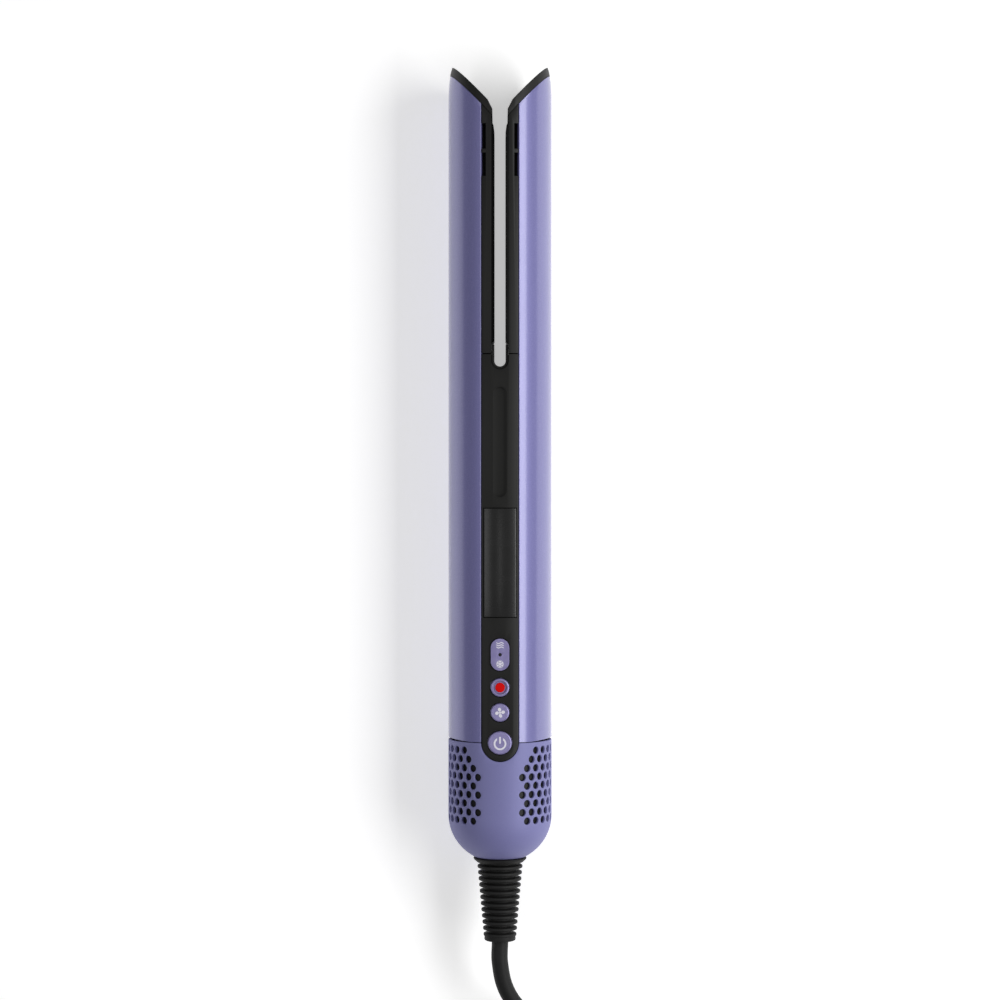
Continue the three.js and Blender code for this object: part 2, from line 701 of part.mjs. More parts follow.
// A strap round the whole hank.
function hankTie() {
  const half = HANK.radius + GAP + TIE.wall;
  const inner = HANK.radius + GAP;
  const top = HANK.high + GAP;
  const bottom = HANK.low - GAP;
  const strap = outline([
    [-half, bottom - TIE.wall + down], [half, bottom - TIE.wall + down],
    [half, top + TIE.wall + down], [-half, top + TIE.wall + down],
  ]);
  strap.holes.push(new THREE.Path([
    new THREE.Vector2(-inner, bottom + down),
    new THREE.Vector2(-inner, top + down),
    new THREE.Vector2(inner, top + down),
    new THREE.Vector2(inner, bottom + down),
  ]));
  return rail(strap, TIE.low, TIE.high);
}

// The flat plug lies across the hank's two sides with its pins away from the tool.
function plugBody() {
  const { half, body: start, front } = PLUG;
  const shape = outline([
    [-6, start], [6, start], [half, start - 16], [half, front + 4], [half - 3, front],
    [3 - half, front], [-half, front + 4], [-half, start - 16],
  ]);
  const low = PLUG.h - PLUG.thick / 2 + down;
  return plate(shape, low, low + PLUG.thick);
}

place('cord_tube', cordTube(LEAD, 12), blackRubber);
place('cord_hank', plate(hankOutline(0), HANK.low + down, HANK.high + down, 16), blackRubber);
place('cord_tail', cordTube(TAIL, 7), blackRubber);
place('hank_tie', hankTie(), blackRubber);
place('plug_body', plugBody(), blackRubber);
place(
  'plug_relief',
  new THREE.CylinderGeometry(4.4, 5.6, PLUG.start - PLUG.body - GAP, 16)
    .translate(0, (PLUG.start + PLUG.body + GAP) / 2, PLUG.h + down),
  blackRubber,
);
for (const [word, side] of [['left', -1], ['right', 1]]) {
  const mid = (side * PIN.apart) / 2;
  place(
    `plug_pin_${word}`,
    rodS(PIN.radius, mid, PLUG.h + down, PLUG.end, PLUG.front - GAP, 16),
    nickel,
  );
}

// ---------------------------------------------------------------- laid on its flat back

tool.position.set(0, -(TIP_S + RELIEF_END_S) / 2, -FLAT_H);

export default tool;
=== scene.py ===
"""An airflow hair straightener on its flat back, with its cord: the finished look of the model.

New pieces are shaped in the tool's own millimetres: x across, y along the tool from 0 at the end of
its base, and z above its long axis, towards the buttons. settle() then lays each in the row frame.
"""

import json
import math

import bmesh
import bpy
from mathutils import Euler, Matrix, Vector

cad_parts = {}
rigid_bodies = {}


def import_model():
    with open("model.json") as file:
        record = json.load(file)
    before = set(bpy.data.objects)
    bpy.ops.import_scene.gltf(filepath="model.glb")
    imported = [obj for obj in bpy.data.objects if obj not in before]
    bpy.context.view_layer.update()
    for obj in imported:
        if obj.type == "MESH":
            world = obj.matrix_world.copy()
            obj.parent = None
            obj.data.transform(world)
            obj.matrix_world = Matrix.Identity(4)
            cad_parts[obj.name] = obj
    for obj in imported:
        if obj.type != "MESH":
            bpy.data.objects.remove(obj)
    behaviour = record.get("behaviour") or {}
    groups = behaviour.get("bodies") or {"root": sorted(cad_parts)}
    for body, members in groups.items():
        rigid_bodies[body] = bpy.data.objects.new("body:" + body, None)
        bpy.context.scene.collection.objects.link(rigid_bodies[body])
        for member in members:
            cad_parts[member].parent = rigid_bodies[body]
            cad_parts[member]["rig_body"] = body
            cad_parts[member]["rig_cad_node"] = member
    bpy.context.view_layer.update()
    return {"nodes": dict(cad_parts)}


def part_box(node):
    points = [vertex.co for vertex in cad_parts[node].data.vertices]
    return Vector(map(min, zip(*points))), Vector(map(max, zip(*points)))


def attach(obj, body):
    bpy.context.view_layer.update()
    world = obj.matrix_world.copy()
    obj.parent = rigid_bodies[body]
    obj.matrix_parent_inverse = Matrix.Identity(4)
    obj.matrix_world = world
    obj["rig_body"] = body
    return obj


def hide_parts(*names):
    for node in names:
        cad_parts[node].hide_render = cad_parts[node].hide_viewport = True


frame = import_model()
nodes = frame["nodes"]

# ---- Camera -------------------------------------------------------------------------------------
# A portrait lens about a metre above the buttons, square to the tool, tips of the arms at the top
# of the picture. The cord runs out of the bottom of it.

CAMERA_Y = 0.0017
CAMERA_HEIGHT = 1.0193
LENS_MM = 90

bpy.ops.object.select_all(action="DESELECT")
bpy.ops.object.camera_add(location=(0, CAMERA_Y, CAMERA_HEIGHT), rotation=(0, 0, 0))
camera = bpy.context.object
camera.name = "camera"
camera.data.lens = LENS_MM
camera.data.sensor_width = 36
camera.data.clip_start = 0.05
bpy.context.scene.camera = camera

# ---- Cord ---------------------------------------------------------------------------------------
# A 6.6 mm rubber-sheathed mains lead, 1.7 m from the strain relief to the plug. It drops to the
# surface, runs five times round a hank of two columns and three layers, and ends in the plug.

MM = 0.001
cage_low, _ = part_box("base_cage")
shaft_low, shaft_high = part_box("motor_shaft")
BASE_END_GAP = 0.4
TOOL_ORIGIN = Vector((0, cage_low.y - BASE_END_GAP * MM, (shaft_low.z + shaft_high.z) / 2))
CORD_RADIUS = 3.3
HANK_NEAR = -121.7
HANK_FAR = -205.7
OUTER_COLUMN = 26.4
INNER_COLUMN = 19.8
LAYERS = (4.4, 11.0, 17.6)
LEAD = (
    (0, -33.5, 19.3), (0, -42.5, 19.3), (3.3, -55, 17.4), (13.2, -67.4, 11.9),
    (23.1, -79.9, 6.3), (26.4, -92.3, 4.4), (26.4, -107, 4.4),
)
TAIL = (
    (19.8, -121.7, 17.6), (17.3, -132.5, 18.9), (9.9, -143.3, 22.9), (2.5, -154.1, 26.8),
    (0.3, -160.5, 28), (0, -165, 28.1),
)
# Each pass round the hank: the column and layer it starts and ends in, and where it changes over.
PASSES = (
    (OUTER_COLUMN, INNER_COLUMN, LAYERS[0], LAYERS[0], 0.68, 0.84),
    (INNER_COLUMN, INNER_COLUMN, LAYERS[0], LAYERS[1], 0.52, 0.68),
    (INNER_COLUMN, OUTER_COLUMN, LAYERS[1], LAYERS[1], 0.36, 0.52),
    (OUTER_COLUMN, OUTER_COLUMN, LAYERS[1], LAYERS[2], 0.24, 0.40),
    (OUTER_COLUMN, INNER_COLUMN, LAYERS[2], LAYERS[2], 0.05, 0.19),
)
TURN_STRAIGHT = 84
TURN_LENGTH = 2 * TURN_STRAIGHT + 2 * math.pi * (OUTER_COLUMN + INNER_COLUMN) / 2
POINTS_PER_TURN = 24


def hank_point(share, radius):
    """A point on the hank's race track: down the right side, round, up the left side, round."""
    straight = TURN_STRAIGHT / TURN_LENGTH
    if share < straight:
        return radius, HANK_NEAR - share * TURN_LENGTH
    if share < 0.5:
        turn = math.pi * (share - straight) / (0.5 - straight)
        return radius * math.cos(turn), HANK_FAR - radius * math.sin(turn)
    if share < 0.5 + straight:
        return -radius, HANK_FAR + (share - 0.5) * TURN_LENGTH
    turn = math.pi * (share - 0.5 - straight) / (0.5 - straight)
    return -radius * math.cos(turn), HANK_NEAR + radius * math.sin(turn)


def eased(share, low, high):
    along = min(1, max(0, (share - low) / (high - low)))
    return along * along * (3 - 2 * along)


route = list(LEAD)
for start_radius, end_radius, start_height, end_height, low, high in PASSES:
    for step in range(POINTS_PER_TURN):
        share = step / POINTS_PER_TURN
        over = eased(share, low, high)
        radius = start_radius + (end_radius - start_radius) * over
        height = start_height + (end_height - start_height) * over
        route.append((*hank_point(share, radius), height))
route.extend(TAIL)
route = [Vector((x * MM, TOOL_ORIGIN.y + s * MM, height * MM)) for x, s, height in route]

line = bpy.data.curves.new("cord", "CURVE")
line.dimensions = "3D"
line.resolution_u = 6
line.bevel_depth = 1
line.bevel_resolution = 5
line.use_fill_caps = True
spline = line.splines.new("BEZIER")
spline.bezier_points.add(len(route) - 1)
for point, knot in zip(route, spline.bezier_points):
    knot.co = point
    knot.radius = CORD_RADIUS * MM
    knot.handle_left_type = knot.handle_right_type = "AUTO"
cord = bpy.data.objects.new("cord", line)
bpy.context.scene.collection.objects.link(cord)
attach(cord, "handle")
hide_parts("cord_tube", "cord_hank", "cord_tail")


def add_node(material, kind, inputs=None, output=None, **settings):
    """Adds a node, whose inputs take values or other nodes' outputs, and gives its own output."""
    made = material.node_tree.nodes.new(kind)
    for name, value in settings.items():
        setattr(made, name, value)
    for name, value in (inputs or {}).items():
        socket = next(one for one in made.inputs if name in (one.identifier, one.name))
        if isinstance(value, bpy.types.NodeSocket):
            material.node_tree.links.new(value, socket)
        else:
            socket.default_value = value
    return next((one for one in made.outputs if one.enabled and output in (None, one.name)), None)


def colour(code):
    """An sRGB hex colour as linear red, green, blue and alpha."""
    parts = [int(code[place : place + 2], 16) / 255 for place in (0, 2, 4)]
    return (*(c / 12.92 if c <= 0.04045 else ((c + 0.055) / 1.055) ** 2.4 for c in parts), 1)


def new_finish(name):
    """An empty material, and the object's own coordinates for its patterns."""
    made = bpy.data.materials.new(name)
    made.use_nodes = True
    made.node_tree.nodes.clear()
    return made, add_node(made, "ShaderNodeTexCoord", output="Object")


def shade_with(material, inputs):
    """Puts the shader at the end of a material's patterns."""
    shader = add_node(material, "ShaderNodeBsdfPrincipled", inputs)
    add_node(material, "ShaderNodeOutputMaterial", {"Surface": shader})


# Moulded PVC sheath: near black, dull, with the faint matt grain of an extruded skin. The grain is
# about 0.4 mm, coarser than the real one, so that it shows.
rubber, where = new_finish("moulded_black_rubber")
grain = add_node(rubber, "ShaderNodeTexNoise", {"Vector": where, "Scale": 2500.0, "Detail": 3.0})
shade = add_node(rubber, "ShaderNodeMix", {
    "Factor_Float": grain, "A_Color": colour("161616"), "B_Color": colour("262626"),
}, data_type="RGBA")
dull = add_node(rubber, "ShaderNodeMapRange", {"Value": grain, "To Min": 0.5, "To Max": 0.7})
bump = add_node(rubber, "ShaderNodeBump", {"Height": grain, "Strength": 0.3, "Distance": 0.00005})
shade_with(rubber, {"Base Color": shade, "Roughness": dull, "Normal": bump, "IOR": 1.5,
                    "Specular IOR Level": 0.25})
line.materials.append(rubber)

# ---- Floor and lights ---------------------------------------------------------------------------
# A white light table, lit a little from below, under soft studio light: a large soft box on the
# right, a weaker one on the left, a narrow strip over the tool, and pale surroundings.

bpy.ops.object.select_all(action="DESELECT")
bpy.ops.mesh.primitive_plane_add(size=30)
floor = bpy.context.object
floor.name = "floor"
paper, where = new_finish("lit_white_acrylic")
mottle = add_node(paper, "ShaderNodeTexNoise", {"Vector": where, "Scale": 400.0, "Detail": 2.0})
tone = add_node(paper, "ShaderNodeMix", {
    "Factor_Float": mottle, "A_Color": colour("f4f4f4"), "B_Color": colour("f8f8f8"),
}, data_type="RGBA")
shade_with(paper, {
    "Base Color": tone, "Roughness": 0.9, "Emission Color": (1, 1, 1, 1), "Emission Strength": 0.46,
})
floor.data.materials.append(paper)


def soft_box(name, place, width, length, power):
    """A rectangular light over the tool's length, turned to face the tool's axis."""
    bpy.ops.object.light_add(type="AREA", location=place)
    light = bpy.context.object
    light.name = name
    light.data.shape = "RECTANGLE"
    light.data.size = width
    light.data.size_y = length
    light.data.energy = power
    tilt = math.atan2(place[0], place[2])
    light.rotation_euler = (0, tilt, 0)


soft_box("key_right", (0.66, 0.0, 0.60), 0.36, 1.1, 6.5)
soft_box("fill_left", (-0.60, 0.0, 0.96), 0.3, 1.1, 2.0)
soft_box("strip_above", (0.0, 0.0, 1.15), 0.10, 0.9, 0.5)

world = bpy.data.worlds.new("pale_studio")
world.use_nodes = True
world.node_tree.nodes["Background"].inputs["Color"].default_value = (1, 1, 1, 1)
world.node_tree.nodes["Background"].inputs["Strength"].default_value = 0.15
bpy.context.scene.world = world
bpy.context.scene.view_settings.view_transform = "Standard"

# ---- Arm shells ---------------------------------------------------------------------------------
# The coloured outside of each arm: a half-round moulding 2 mm thick, narrowing a little at the
# tip, cut on the slant there, and clipped over the arm's inner frame.

BODY_RADIUS = 20.6
TIP_RADIUS = 19.2
TIP = 315.4
EASE_START = 297
SHELL_EDGE = 7.5
SHELL_START = 47.7
SHELL_CORNER = 48.4
HINGE_X = 12.5
SHELL_WALL = 2
CUT_SLOPE = 1.08
CAP_RISE = 4.4
SMOOTH_ANGLE = math.radians(30)


def pick(piece):
    """Leaves one piece selected and active."""
    bpy.ops.object.select_all(action="DESELECT")
    piece.select_set(True)
    bpy.context.view_layer.objects.active = piece


def edit_all(piece):
    pick(piece)
    bpy.ops.object.mode_set(mode="EDIT")
    bpy.ops.mesh.select_all(action="SELECT")


def leave_edit():
    bpy.ops.object.mode_set(mode="OBJECT")


def turned(name, rings, along="y", centre=(0, 0), sides=64, ends="NGON"):
    """A turned piece: a circle is extruded from ring to ring, each ring given as radius, place."""
    tilt = -math.pi / 2 if along == "y" else 0
    axis = Vector((0, 1, 0)) if along == "y" else Vector((0, 0, 1))
    across = Vector((centre[0], 0, centre[1])) if along == "y" else Vector((*centre, 0))
    bpy.ops.object.select_all(action="DESELECT")
    bpy.ops.mesh.primitive_circle_add(
        vertices=sides, radius=rings[0][0], fill_type=ends,
        location=across + axis * rings[0][1], rotation=(tilt, 0, 0),
    )
    bpy.ops.object.transform_apply()
    piece = bpy.context.object
    piece.name = piece.data.name = name
    bpy.ops.object.mode_set(mode="EDIT")
    for (old_radius, old_place), (radius, place) in zip(rings, rings[1:]):
        bpy.ops.mesh.extrude_region_move(
            TRANSFORM_OT_translate={"value": axis * (place - old_place), "orient_type": "GLOBAL"}
        )
        bpy.ops.transform.resize(
            value=[radius / old_radius] * 3, center_override=across + axis * place
        )
    leave_edit()
    return piece


def face_out(piece):
    """Turns a closed mesh the right way round if it is inside out."""
    mesh = bmesh.new()
    mesh.from_mesh(piece.data)
    if mesh.calc_volume(signed=True) < 0:
        bmesh.ops.reverse_faces(mesh, faces=mesh.faces)
        mesh.to_mesh(piece.data)
    mesh.free()


def saw(piece, point, away, fill=True):
    """Cuts off what lies past a plane, on the side that away points to."""
    edit_all(piece)
    bpy.ops.mesh.bisect(
        plane_co=point, plane_no=Vector(away).normalized(), use_fill=fill, clear_outer=True,
        threshold=1e-5,
    )
    leave_edit()


def apply_modifier(piece, kind, **settings):
    pick(piece)
    modifier = piece.modifiers.new(kind.lower(), kind)
    for name, value in settings.items():
        setattr(modifier, name, value)
    bpy.ops.object.modifier_apply(modifier=modifier.name)


def soften(piece, width, segments=2, angle=35):
    """Rounds every edge sharper than the angle."""
    apply_modifier(
        piece, "BEVEL", width=width, segments=segments, limit_method="ANGLE",
        angle_limit=math.radians(angle), use_clamp_overlap=True, miter_outer="MITER_ARC",
    )


def settle(piece, finish, body, slot, *replaced):
    """Lays a piece drawn in the tool's millimetres in the row frame, and fits it to its body."""
    pick(piece)
    face_out(piece)
    piece.scale = (MM, MM, MM)
    piece.location = TOOL_ORIGIN
    bpy.ops.object.transform_apply(location=True, rotation=True, scale=True)
    bpy.ops.object.shade_smooth_by_angle(angle=SMOOTH_ANGLE)
    piece.data.materials.clear()
    piece.data.materials.append(finish)
    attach(piece, body)
    if replaced:
        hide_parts(*replaced)
    return piece


def body_radius(y):
    along = max(0, (y - EASE_START) / (TIP - EASE_START))
    return BODY_RADIUS - (BODY_RADIUS - TIP_RADIUS) * along**4


def slant(x, rise=0):
    """A point on the slanted cut of the right arm's tip, raised along the tool."""
    return Vector((x, TIP - CAP_RISE - CUT_SLOPE * (TIP_RADIUS - x) + rise, 0))


def to_side(vector, side):
    return Vector((vector[0] * side, vector[1], vector[2]))


SLANT_NORMAL = Vector((-CUT_SLOPE, 1, 0))
TIP_RINGS = [(body_radius(y), y) for y in (EASE_START, 301, 304, 307, 309.5, 311.5, 313.5, TIP + 1)]

# Metallic lavender lacquer over moulded ABS: aluminium flake in the paint gives a broad silky
# reflection that darkens to violet-grey at a slant, under a clear coat. The flake is drawn at
# 0.35 mm, several times its real size, so that it shows.
lacquer, where = new_finish("metallic_lavender_lacquer")
flake = add_node(lacquer, "ShaderNodeTexVoronoi", {"Vector": where, "Scale": 2800.0})
cloud = add_node(lacquer, "ShaderNodeTexNoise", {"Vector": where, "Scale": 60.0, "Detail": 2.0})
tint = add_node(lacquer, "ShaderNodeMix", {
    "Factor_Float": flake, "A_Color": colour("7674ad"), "B_Color": colour("8482b8"),
}, data_type="RGBA")
gloss = add_node(lacquer, "ShaderNodeMapRange", {"Value": cloud, "To Min": 0.38, "To Max": 0.44})
peel = add_node(lacquer, "ShaderNodeBump", {"Height": cloud, "Strength": 0.05, "Distance": 0.0002})
shade_with(lacquer, {
    "Base Color": tint, "Metallic": 0.25, "Roughness": gloss, "Normal": peel,
    "Coat Weight": 1.0, "Coat Roughness": 0.16, "Specular IOR Level": 0.35,
})

for word, side in (("left", -1), ("right", 1)):
    shell = turned(
        f"shell_{word}", [(BODY_RADIUS, SHELL_START), *TIP_RINGS], sides=240, ends="NOTHING"
    )
    saw(shell, (SHELL_EDGE * side, 0, 0), (-side, 0, 0), fill=False)
    saw(shell, to_side(slant(TIP_RADIUS), side), to_side(SLANT_NORMAL, side), fill=False)
    corner_slope = (SHELL_CORNER - SHELL_START) / (BODY_RADIUS - HINGE_X)
    saw(shell, (HINGE_X * side, SHELL_START, 0), (corner_slope * side, -1, 0), fill=False)
    mesh = shell.data
    if mesh.polygons[0].normal.dot(mesh.polygons[0].center * Vector((1, 0, 1))) < 0:
        mesh.flip_normals()
    apply_modifier(shell, "SOLIDIFY", thickness=SHELL_WALL, offset=-1, use_even_offset=True)
    soften(shell, 0.5, 3)
    settle(shell, lacquer, f"arm_{word}", "lavender_metallic", f"arm_shell_{word}")

# ---- End caps -----------------------------------------------------------------------------------
# A black moulded cap snaps over the slanted end of each arm, with its corner rounded off where
# the two arms meet so that it slides into the hair.

CAP_GAP = 0.3
CAP_INNER = 3
CAP_SHOULDER = 4.9
CAP_CHAMFER_RISE = 2.6
CAP_ROOT = 285
BACK_HALF = 7.2
FLAT_HEIGHT = -math.sqrt(BODY_RADIUS**2 - BACK_HALF**2)

# Fine spark-eroded ABS: black with a low even sheen. The texture is 0.25 mm grain.
black_abs, where = new_finish("textured_black_abs")
grain = add_node(black_abs, "ShaderNodeTexNoise", {"Vector": where, "Scale": 3600.0, "Detail": 3.0})
shade = add_node(black_abs, "ShaderNodeMix", {
    "Factor_Float": grain, "A_Color": colour("151514"), "B_Color": colour("1f1f1e"),
}, data_type="RGBA")
dull = add_node(black_abs, "ShaderNodeMapRange", {"Value": grain, "To Min": 0.42, "To Max": 0.56})
bump = add_node(black_abs, "ShaderNodeBump", {"Height": grain, "Strength": 0.2, "Distance": 4e-5})
shade_with(black_abs, {"Base Color": shade, "Roughness": dull, "Normal": bump, "IOR": 1.53,
                       "Specular IOR Level": 0.25})

for word, side in (("left", -1), ("right", 1)):
    cap = turned(f"cap_{word}", [(BODY_RADIUS, CAP_ROOT), *TIP_RINGS], sides=240)
    face_out(cap)
    saw(cap, (CAP_INNER * side, 0, 0), (-side, 0, 0))
    saw(cap, (0, 0, FLAT_HEIGHT), (0, 0, -1))
    low = slant(CAP_INNER, CAP_GAP)
    saw(cap, to_side(low, side), to_side(-SLANT_NORMAL, side))
    saw(cap, to_side(slant(CAP_SHOULDER, CAP_RISE), side), to_side(SLANT_NORMAL, side))
    chamfer_low = slant(CAP_INNER, CAP_CHAMFER_RISE)
    chamfer_high = slant(CAP_SHOULDER, CAP_RISE)
    chamfer = chamfer_high - chamfer_low
    saw(cap, to_side(chamfer_low, side), to_side(Vector((-chamfer.y, chamfer.x, 0)), side))
    soften(cap, 0.5, 3, 12)
    settle(cap, black_abs, f"arm_{word}", "black_plastic", f"end_cap_{word}")

# ---- Inner frames, air bars and spine -----------------------------------------------------------
# Black glass-filled mouldings: each arm's frame with its two vents, the bar that presses the hair
# with the slit the hot air leaves by, and the grey spine that the hinges and boards sit on. Their
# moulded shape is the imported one, with its edges rounded as a mould leaves them.


def refined(node, finish, body, width, segments=2, angle=35, flat=2):
    """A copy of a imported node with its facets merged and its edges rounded, which stands for it."""
    pick(nodes[node])
    bpy.ops.object.duplicate()
    piece = bpy.context.object
    piece.parent = None
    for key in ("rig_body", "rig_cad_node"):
        del piece[key]
    piece.name = piece.data.name = f"{node}_moulded"
    edit_all(piece)
    bpy.ops.mesh.remove_doubles(threshold=1e-5 * MM)
    bpy.ops.mesh.dissolve_limited(angle_limit=math.radians(flat))
    leave_edit()
    face_out(piece)
    if width:
        soften(piece, width * MM, segments, angle)
    bpy.ops.object.shade_smooth_by_angle(angle=SMOOTH_ANGLE)
    piece.data.materials.clear()
    piece.data.materials.append(finish)
    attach(piece, body)
    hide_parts(node)
    return piece


# Plain moulded ABS for the parts inside: mid grey, dull, with a slight mottle.
grey_abs, where = new_finish("moulded_grey_abs")
cloud = add_node(grey_abs, "ShaderNodeTexNoise", {"Vector": where, "Scale": 500.0, "Detail": 4.0})
shade = add_node(grey_abs, "ShaderNodeMix", {
    "Factor_Float": cloud, "A_Color": colour("3a3b3e"), "B_Color": colour("4a4b4f"),
}, data_type="RGBA")
bump = add_node(grey_abs, "ShaderNodeBump", {"Height": cloud, "Strength": 0.15, "Distance": 5e-5})
shade_with(grey_abs, {"Base Color": shade, "Roughness": 0.55, "Normal": bump})

for word in ("left", "right"):
    refined(f"arm_frame_{word}", black_abs, f"arm_{word}", 0.25)
    refined(f"air_bar_{word}", black_abs, f"arm_{word}", 0.3)
    refined(f"air_duct_{word}", grey_abs, f"arm_{word}", 0.2)
refined("spine_chassis", grey_abs, "handle", 0)

# ---- Front strip --------------------------------------------------------------------------------
# One black moulding down the front of the handle, crowned to the round of the body. It has a
# finger groove below the slot, a shallow seat for the display, and the holes for the buttons.

STRIP_HALF = 7.2
STRIP_UNDERSIDE = 17.4
STRIP_TONGUE = 47.6
STRIP_END = 200
SLOT_HALF = 3.4
SLOT_FLOOR = 195.2
LIP_DROP = 1.2
STRIP_EDGE = 0.2
GROOVE_HALF = 2.7
GROOVE_ENDS = (144, 187.2)
GROOVE_FLOOR = 19.3
DISPLAY_ENDS = (96.9, 139.5)
DISPLAY_HALF = 6.4
DISPLAY_SEAT = 18.3
BUTTON_GAP = 0.3
ROCKER_ENDS = (75.9, 88.5)
ROUND_BUTTON = 3.625
HEAT_PLACE = 69.3
FAN_PLACE = 59.5
POWER_BUTTON = 4.6
CROWN_STEP = 0.6
WINDOW_HALF = 4.5
WINDOW_INSET = 2
SEAT_CORNER = 0.9
CUT_LOW = 10
CUT_HIGH = 30


def stadium(name, half, low, high, bottom, top, sides=64):
    """A block with round ends: a disc split across its middle, with one half moved along."""
    bpy.ops.object.select_all(action="DESELECT")
    bpy.ops.mesh.primitive_circle_add(
        vertices=sides, radius=half, fill_type="NGON", location=(0, low + half, bottom)
    )
    bpy.ops.object.transform_apply()
    piece = bpy.context.object
    piece.name = piece.data.name = name
    if high - low > 2 * half:
        edit_all(piece)
        bpy.ops.mesh.bisect(plane_co=(0, low + half, 0), plane_no=(0, 1, 0), threshold=1e-5)
        leave_edit()
        for vertex in piece.data.vertices:
            if vertex.co.y > low + half + 1e-4:
                vertex.co.y += high - low - 2 * half
    edit_all(piece)
    bpy.ops.mesh.dissolve_limited(angle_limit=math.radians(0.5))
    bpy.ops.mesh.select_all(action="SELECT")
    bpy.ops.mesh.extrude_region_move(TRANSFORM_OT_translate={"value": (0, 0, top - bottom)})
    leave_edit()
    face_out(piece)
    return piece


def block(name, low, high, corner=0):
    """A rectangular block from one corner to the other, with its upright edges rounded."""
    low, high = Vector(low), Vector(high)
    bpy.ops.object.select_all(action="DESELECT")
    bpy.ops.mesh.primitive_cube_add(size=1, location=(low + high) / 2)
    piece = bpy.context.object
    piece.scale = high - low
    bpy.ops.object.transform_apply()
    piece.name = piece.data.name = name
    if corner:
        edit_all(piece)
        bpy.ops.mesh.select_all(action="DESELECT")
        mesh = bmesh.from_edit_mesh(piece.data)
        for edge in mesh.edges:
            ends = [vertex.co for vertex in edge.verts]
            edge.select_set(abs(ends[0].z - ends[1].z) > 1e-4)
        bmesh.update_edit_mesh(piece.data)
        bpy.ops.mesh.bevel(offset=corner, segments=6)
        leave_edit()
    return piece


def combine(piece, *tools, operation="DIFFERENCE"):
    """Cuts tools out of a piece, or welds them to it, and clears them away."""
    for tool in tools:
        apply_modifier(piece, "BOOLEAN", operation=operation, object=tool, solver="EXACT")
        bpy.data.objects.remove(tool)
    return piece


def crown(piece, radius, level):
    """Slices the piece lengthways and lowers its top to a cylinder about the long axis."""
    reach = max(abs(vertex.co.x) for vertex in piece.data.vertices)
    place = -math.floor(reach / CROWN_STEP) * CROWN_STEP
    edit_all(piece)
    while place < reach:
        bpy.ops.mesh.select_all(action="SELECT")
        bpy.ops.mesh.bisect(plane_co=(place, 0, 0), plane_no=(1, 0, 0), threshold=1e-5)
        place += CROWN_STEP
    leave_edit()
    for vertex in piece.data.vertices:
        if vertex.co.z > level:
            vertex.co.z -= radius - math.sqrt(radius**2 - vertex.co.x**2)


def disc(name, radius, low, high, centre, sides=64):
    """A plain upright disc, such as a drill or a hub."""
    return turned(name, [(radius, low), (radius, high)], "z", centre, sides)


strip = stadium("front_strip", STRIP_HALF, STRIP_TONGUE - STRIP_HALF, STRIP_END + STRIP_HALF,
                STRIP_UNDERSIDE, BODY_RADIUS, sides=96)
saw(strip, (0, STRIP_END, 0), (0, 1, 0))
seat = DISPLAY_HALF + 0.2
round_hole = ROUND_BUTTON + BUTTON_GAP
combine(
    strip,
    stadium("slot", SLOT_HALF, SLOT_FLOOR - LIP_DROP, STRIP_END + 12, CUT_LOW, CUT_HIGH),
    stadium("groove", GROOVE_HALF, *GROOVE_ENDS, GROOVE_FLOOR, CUT_HIGH),
    block("seat", (-seat, DISPLAY_ENDS[0] - BUTTON_GAP, DISPLAY_SEAT),
          (seat, DISPLAY_ENDS[1] + BUTTON_GAP, CUT_HIGH), SEAT_CORNER),
    block("window", (-WINDOW_HALF, DISPLAY_ENDS[0] + WINDOW_INSET, CUT_LOW),
          (WINDOW_HALF, DISPLAY_ENDS[1] - WINDOW_INSET, CUT_HIGH)),
    stadium("rocker_hole", round_hole, ROCKER_ENDS[0] - BUTTON_GAP,
            ROCKER_ENDS[1] + BUTTON_GAP, CUT_LOW, CUT_HIGH),
    disc("heat_hole", round_hole, CUT_LOW, CUT_HIGH, (0, HEAT_PLACE)),
    disc("fan_hole", round_hole, CUT_LOW, CUT_HIGH, (0, FAN_PLACE)),
    disc("power_hole", POWER_BUTTON + BUTTON_GAP, CUT_LOW, CUT_HIGH, (0, STRIP_TONGUE)),
)
soften(strip, STRIP_EDGE, 2)
crown(strip, BODY_RADIUS, BODY_RADIUS - 0.5)
settle(strip, black_abs, "handle", "black_plastic", "front_fascia")

# ---- Slot lip -----------------------------------------------------------------------------------
# A black moulded lip lines the closed end of the slot, set a little below the strip, and reaches up
# between the arms to where their air bars begin. A flange under the strip holds it.

LIP_OUTER = 3.3
LIP_INNER = 2.2
LIP_TOP = 19.4
LIP_UNDERSIDE = 15
LIP_END = 203.8
FLANGE_HALF = 4.6
FLANGE_DROP = 2.4
lip = stadium("slot_lip", FLANGE_HALF, SLOT_FLOOR - FLANGE_DROP, STRIP_END + 10, LIP_UNDERSIDE,
              STRIP_UNDERSIDE - 0.1)
saw(lip, (0, STRIP_END - 0.2, 0), (0, 1, 0))
wall = stadium("lip_wall", LIP_OUTER, SLOT_FLOOR + LIP_INNER - LIP_OUTER, LIP_END + 10,
               LIP_UNDERSIDE, LIP_TOP)
saw(wall, (0, LIP_END, 0), (0, 1, 0))
combine(lip, wall, operation="UNION")
combine(lip, stadium("lip_opening", LIP_INNER, SLOT_FLOOR, LIP_END + 10, 5, CUT_HIGH))
soften(lip, STRIP_EDGE, 2)
settle(lip, black_abs, "handle", "black_plastic")

# ---- Display window -----------------------------------------------------------------------------
# A smoked polycarbonate window, polished and crowned like the strip, over the dark display.

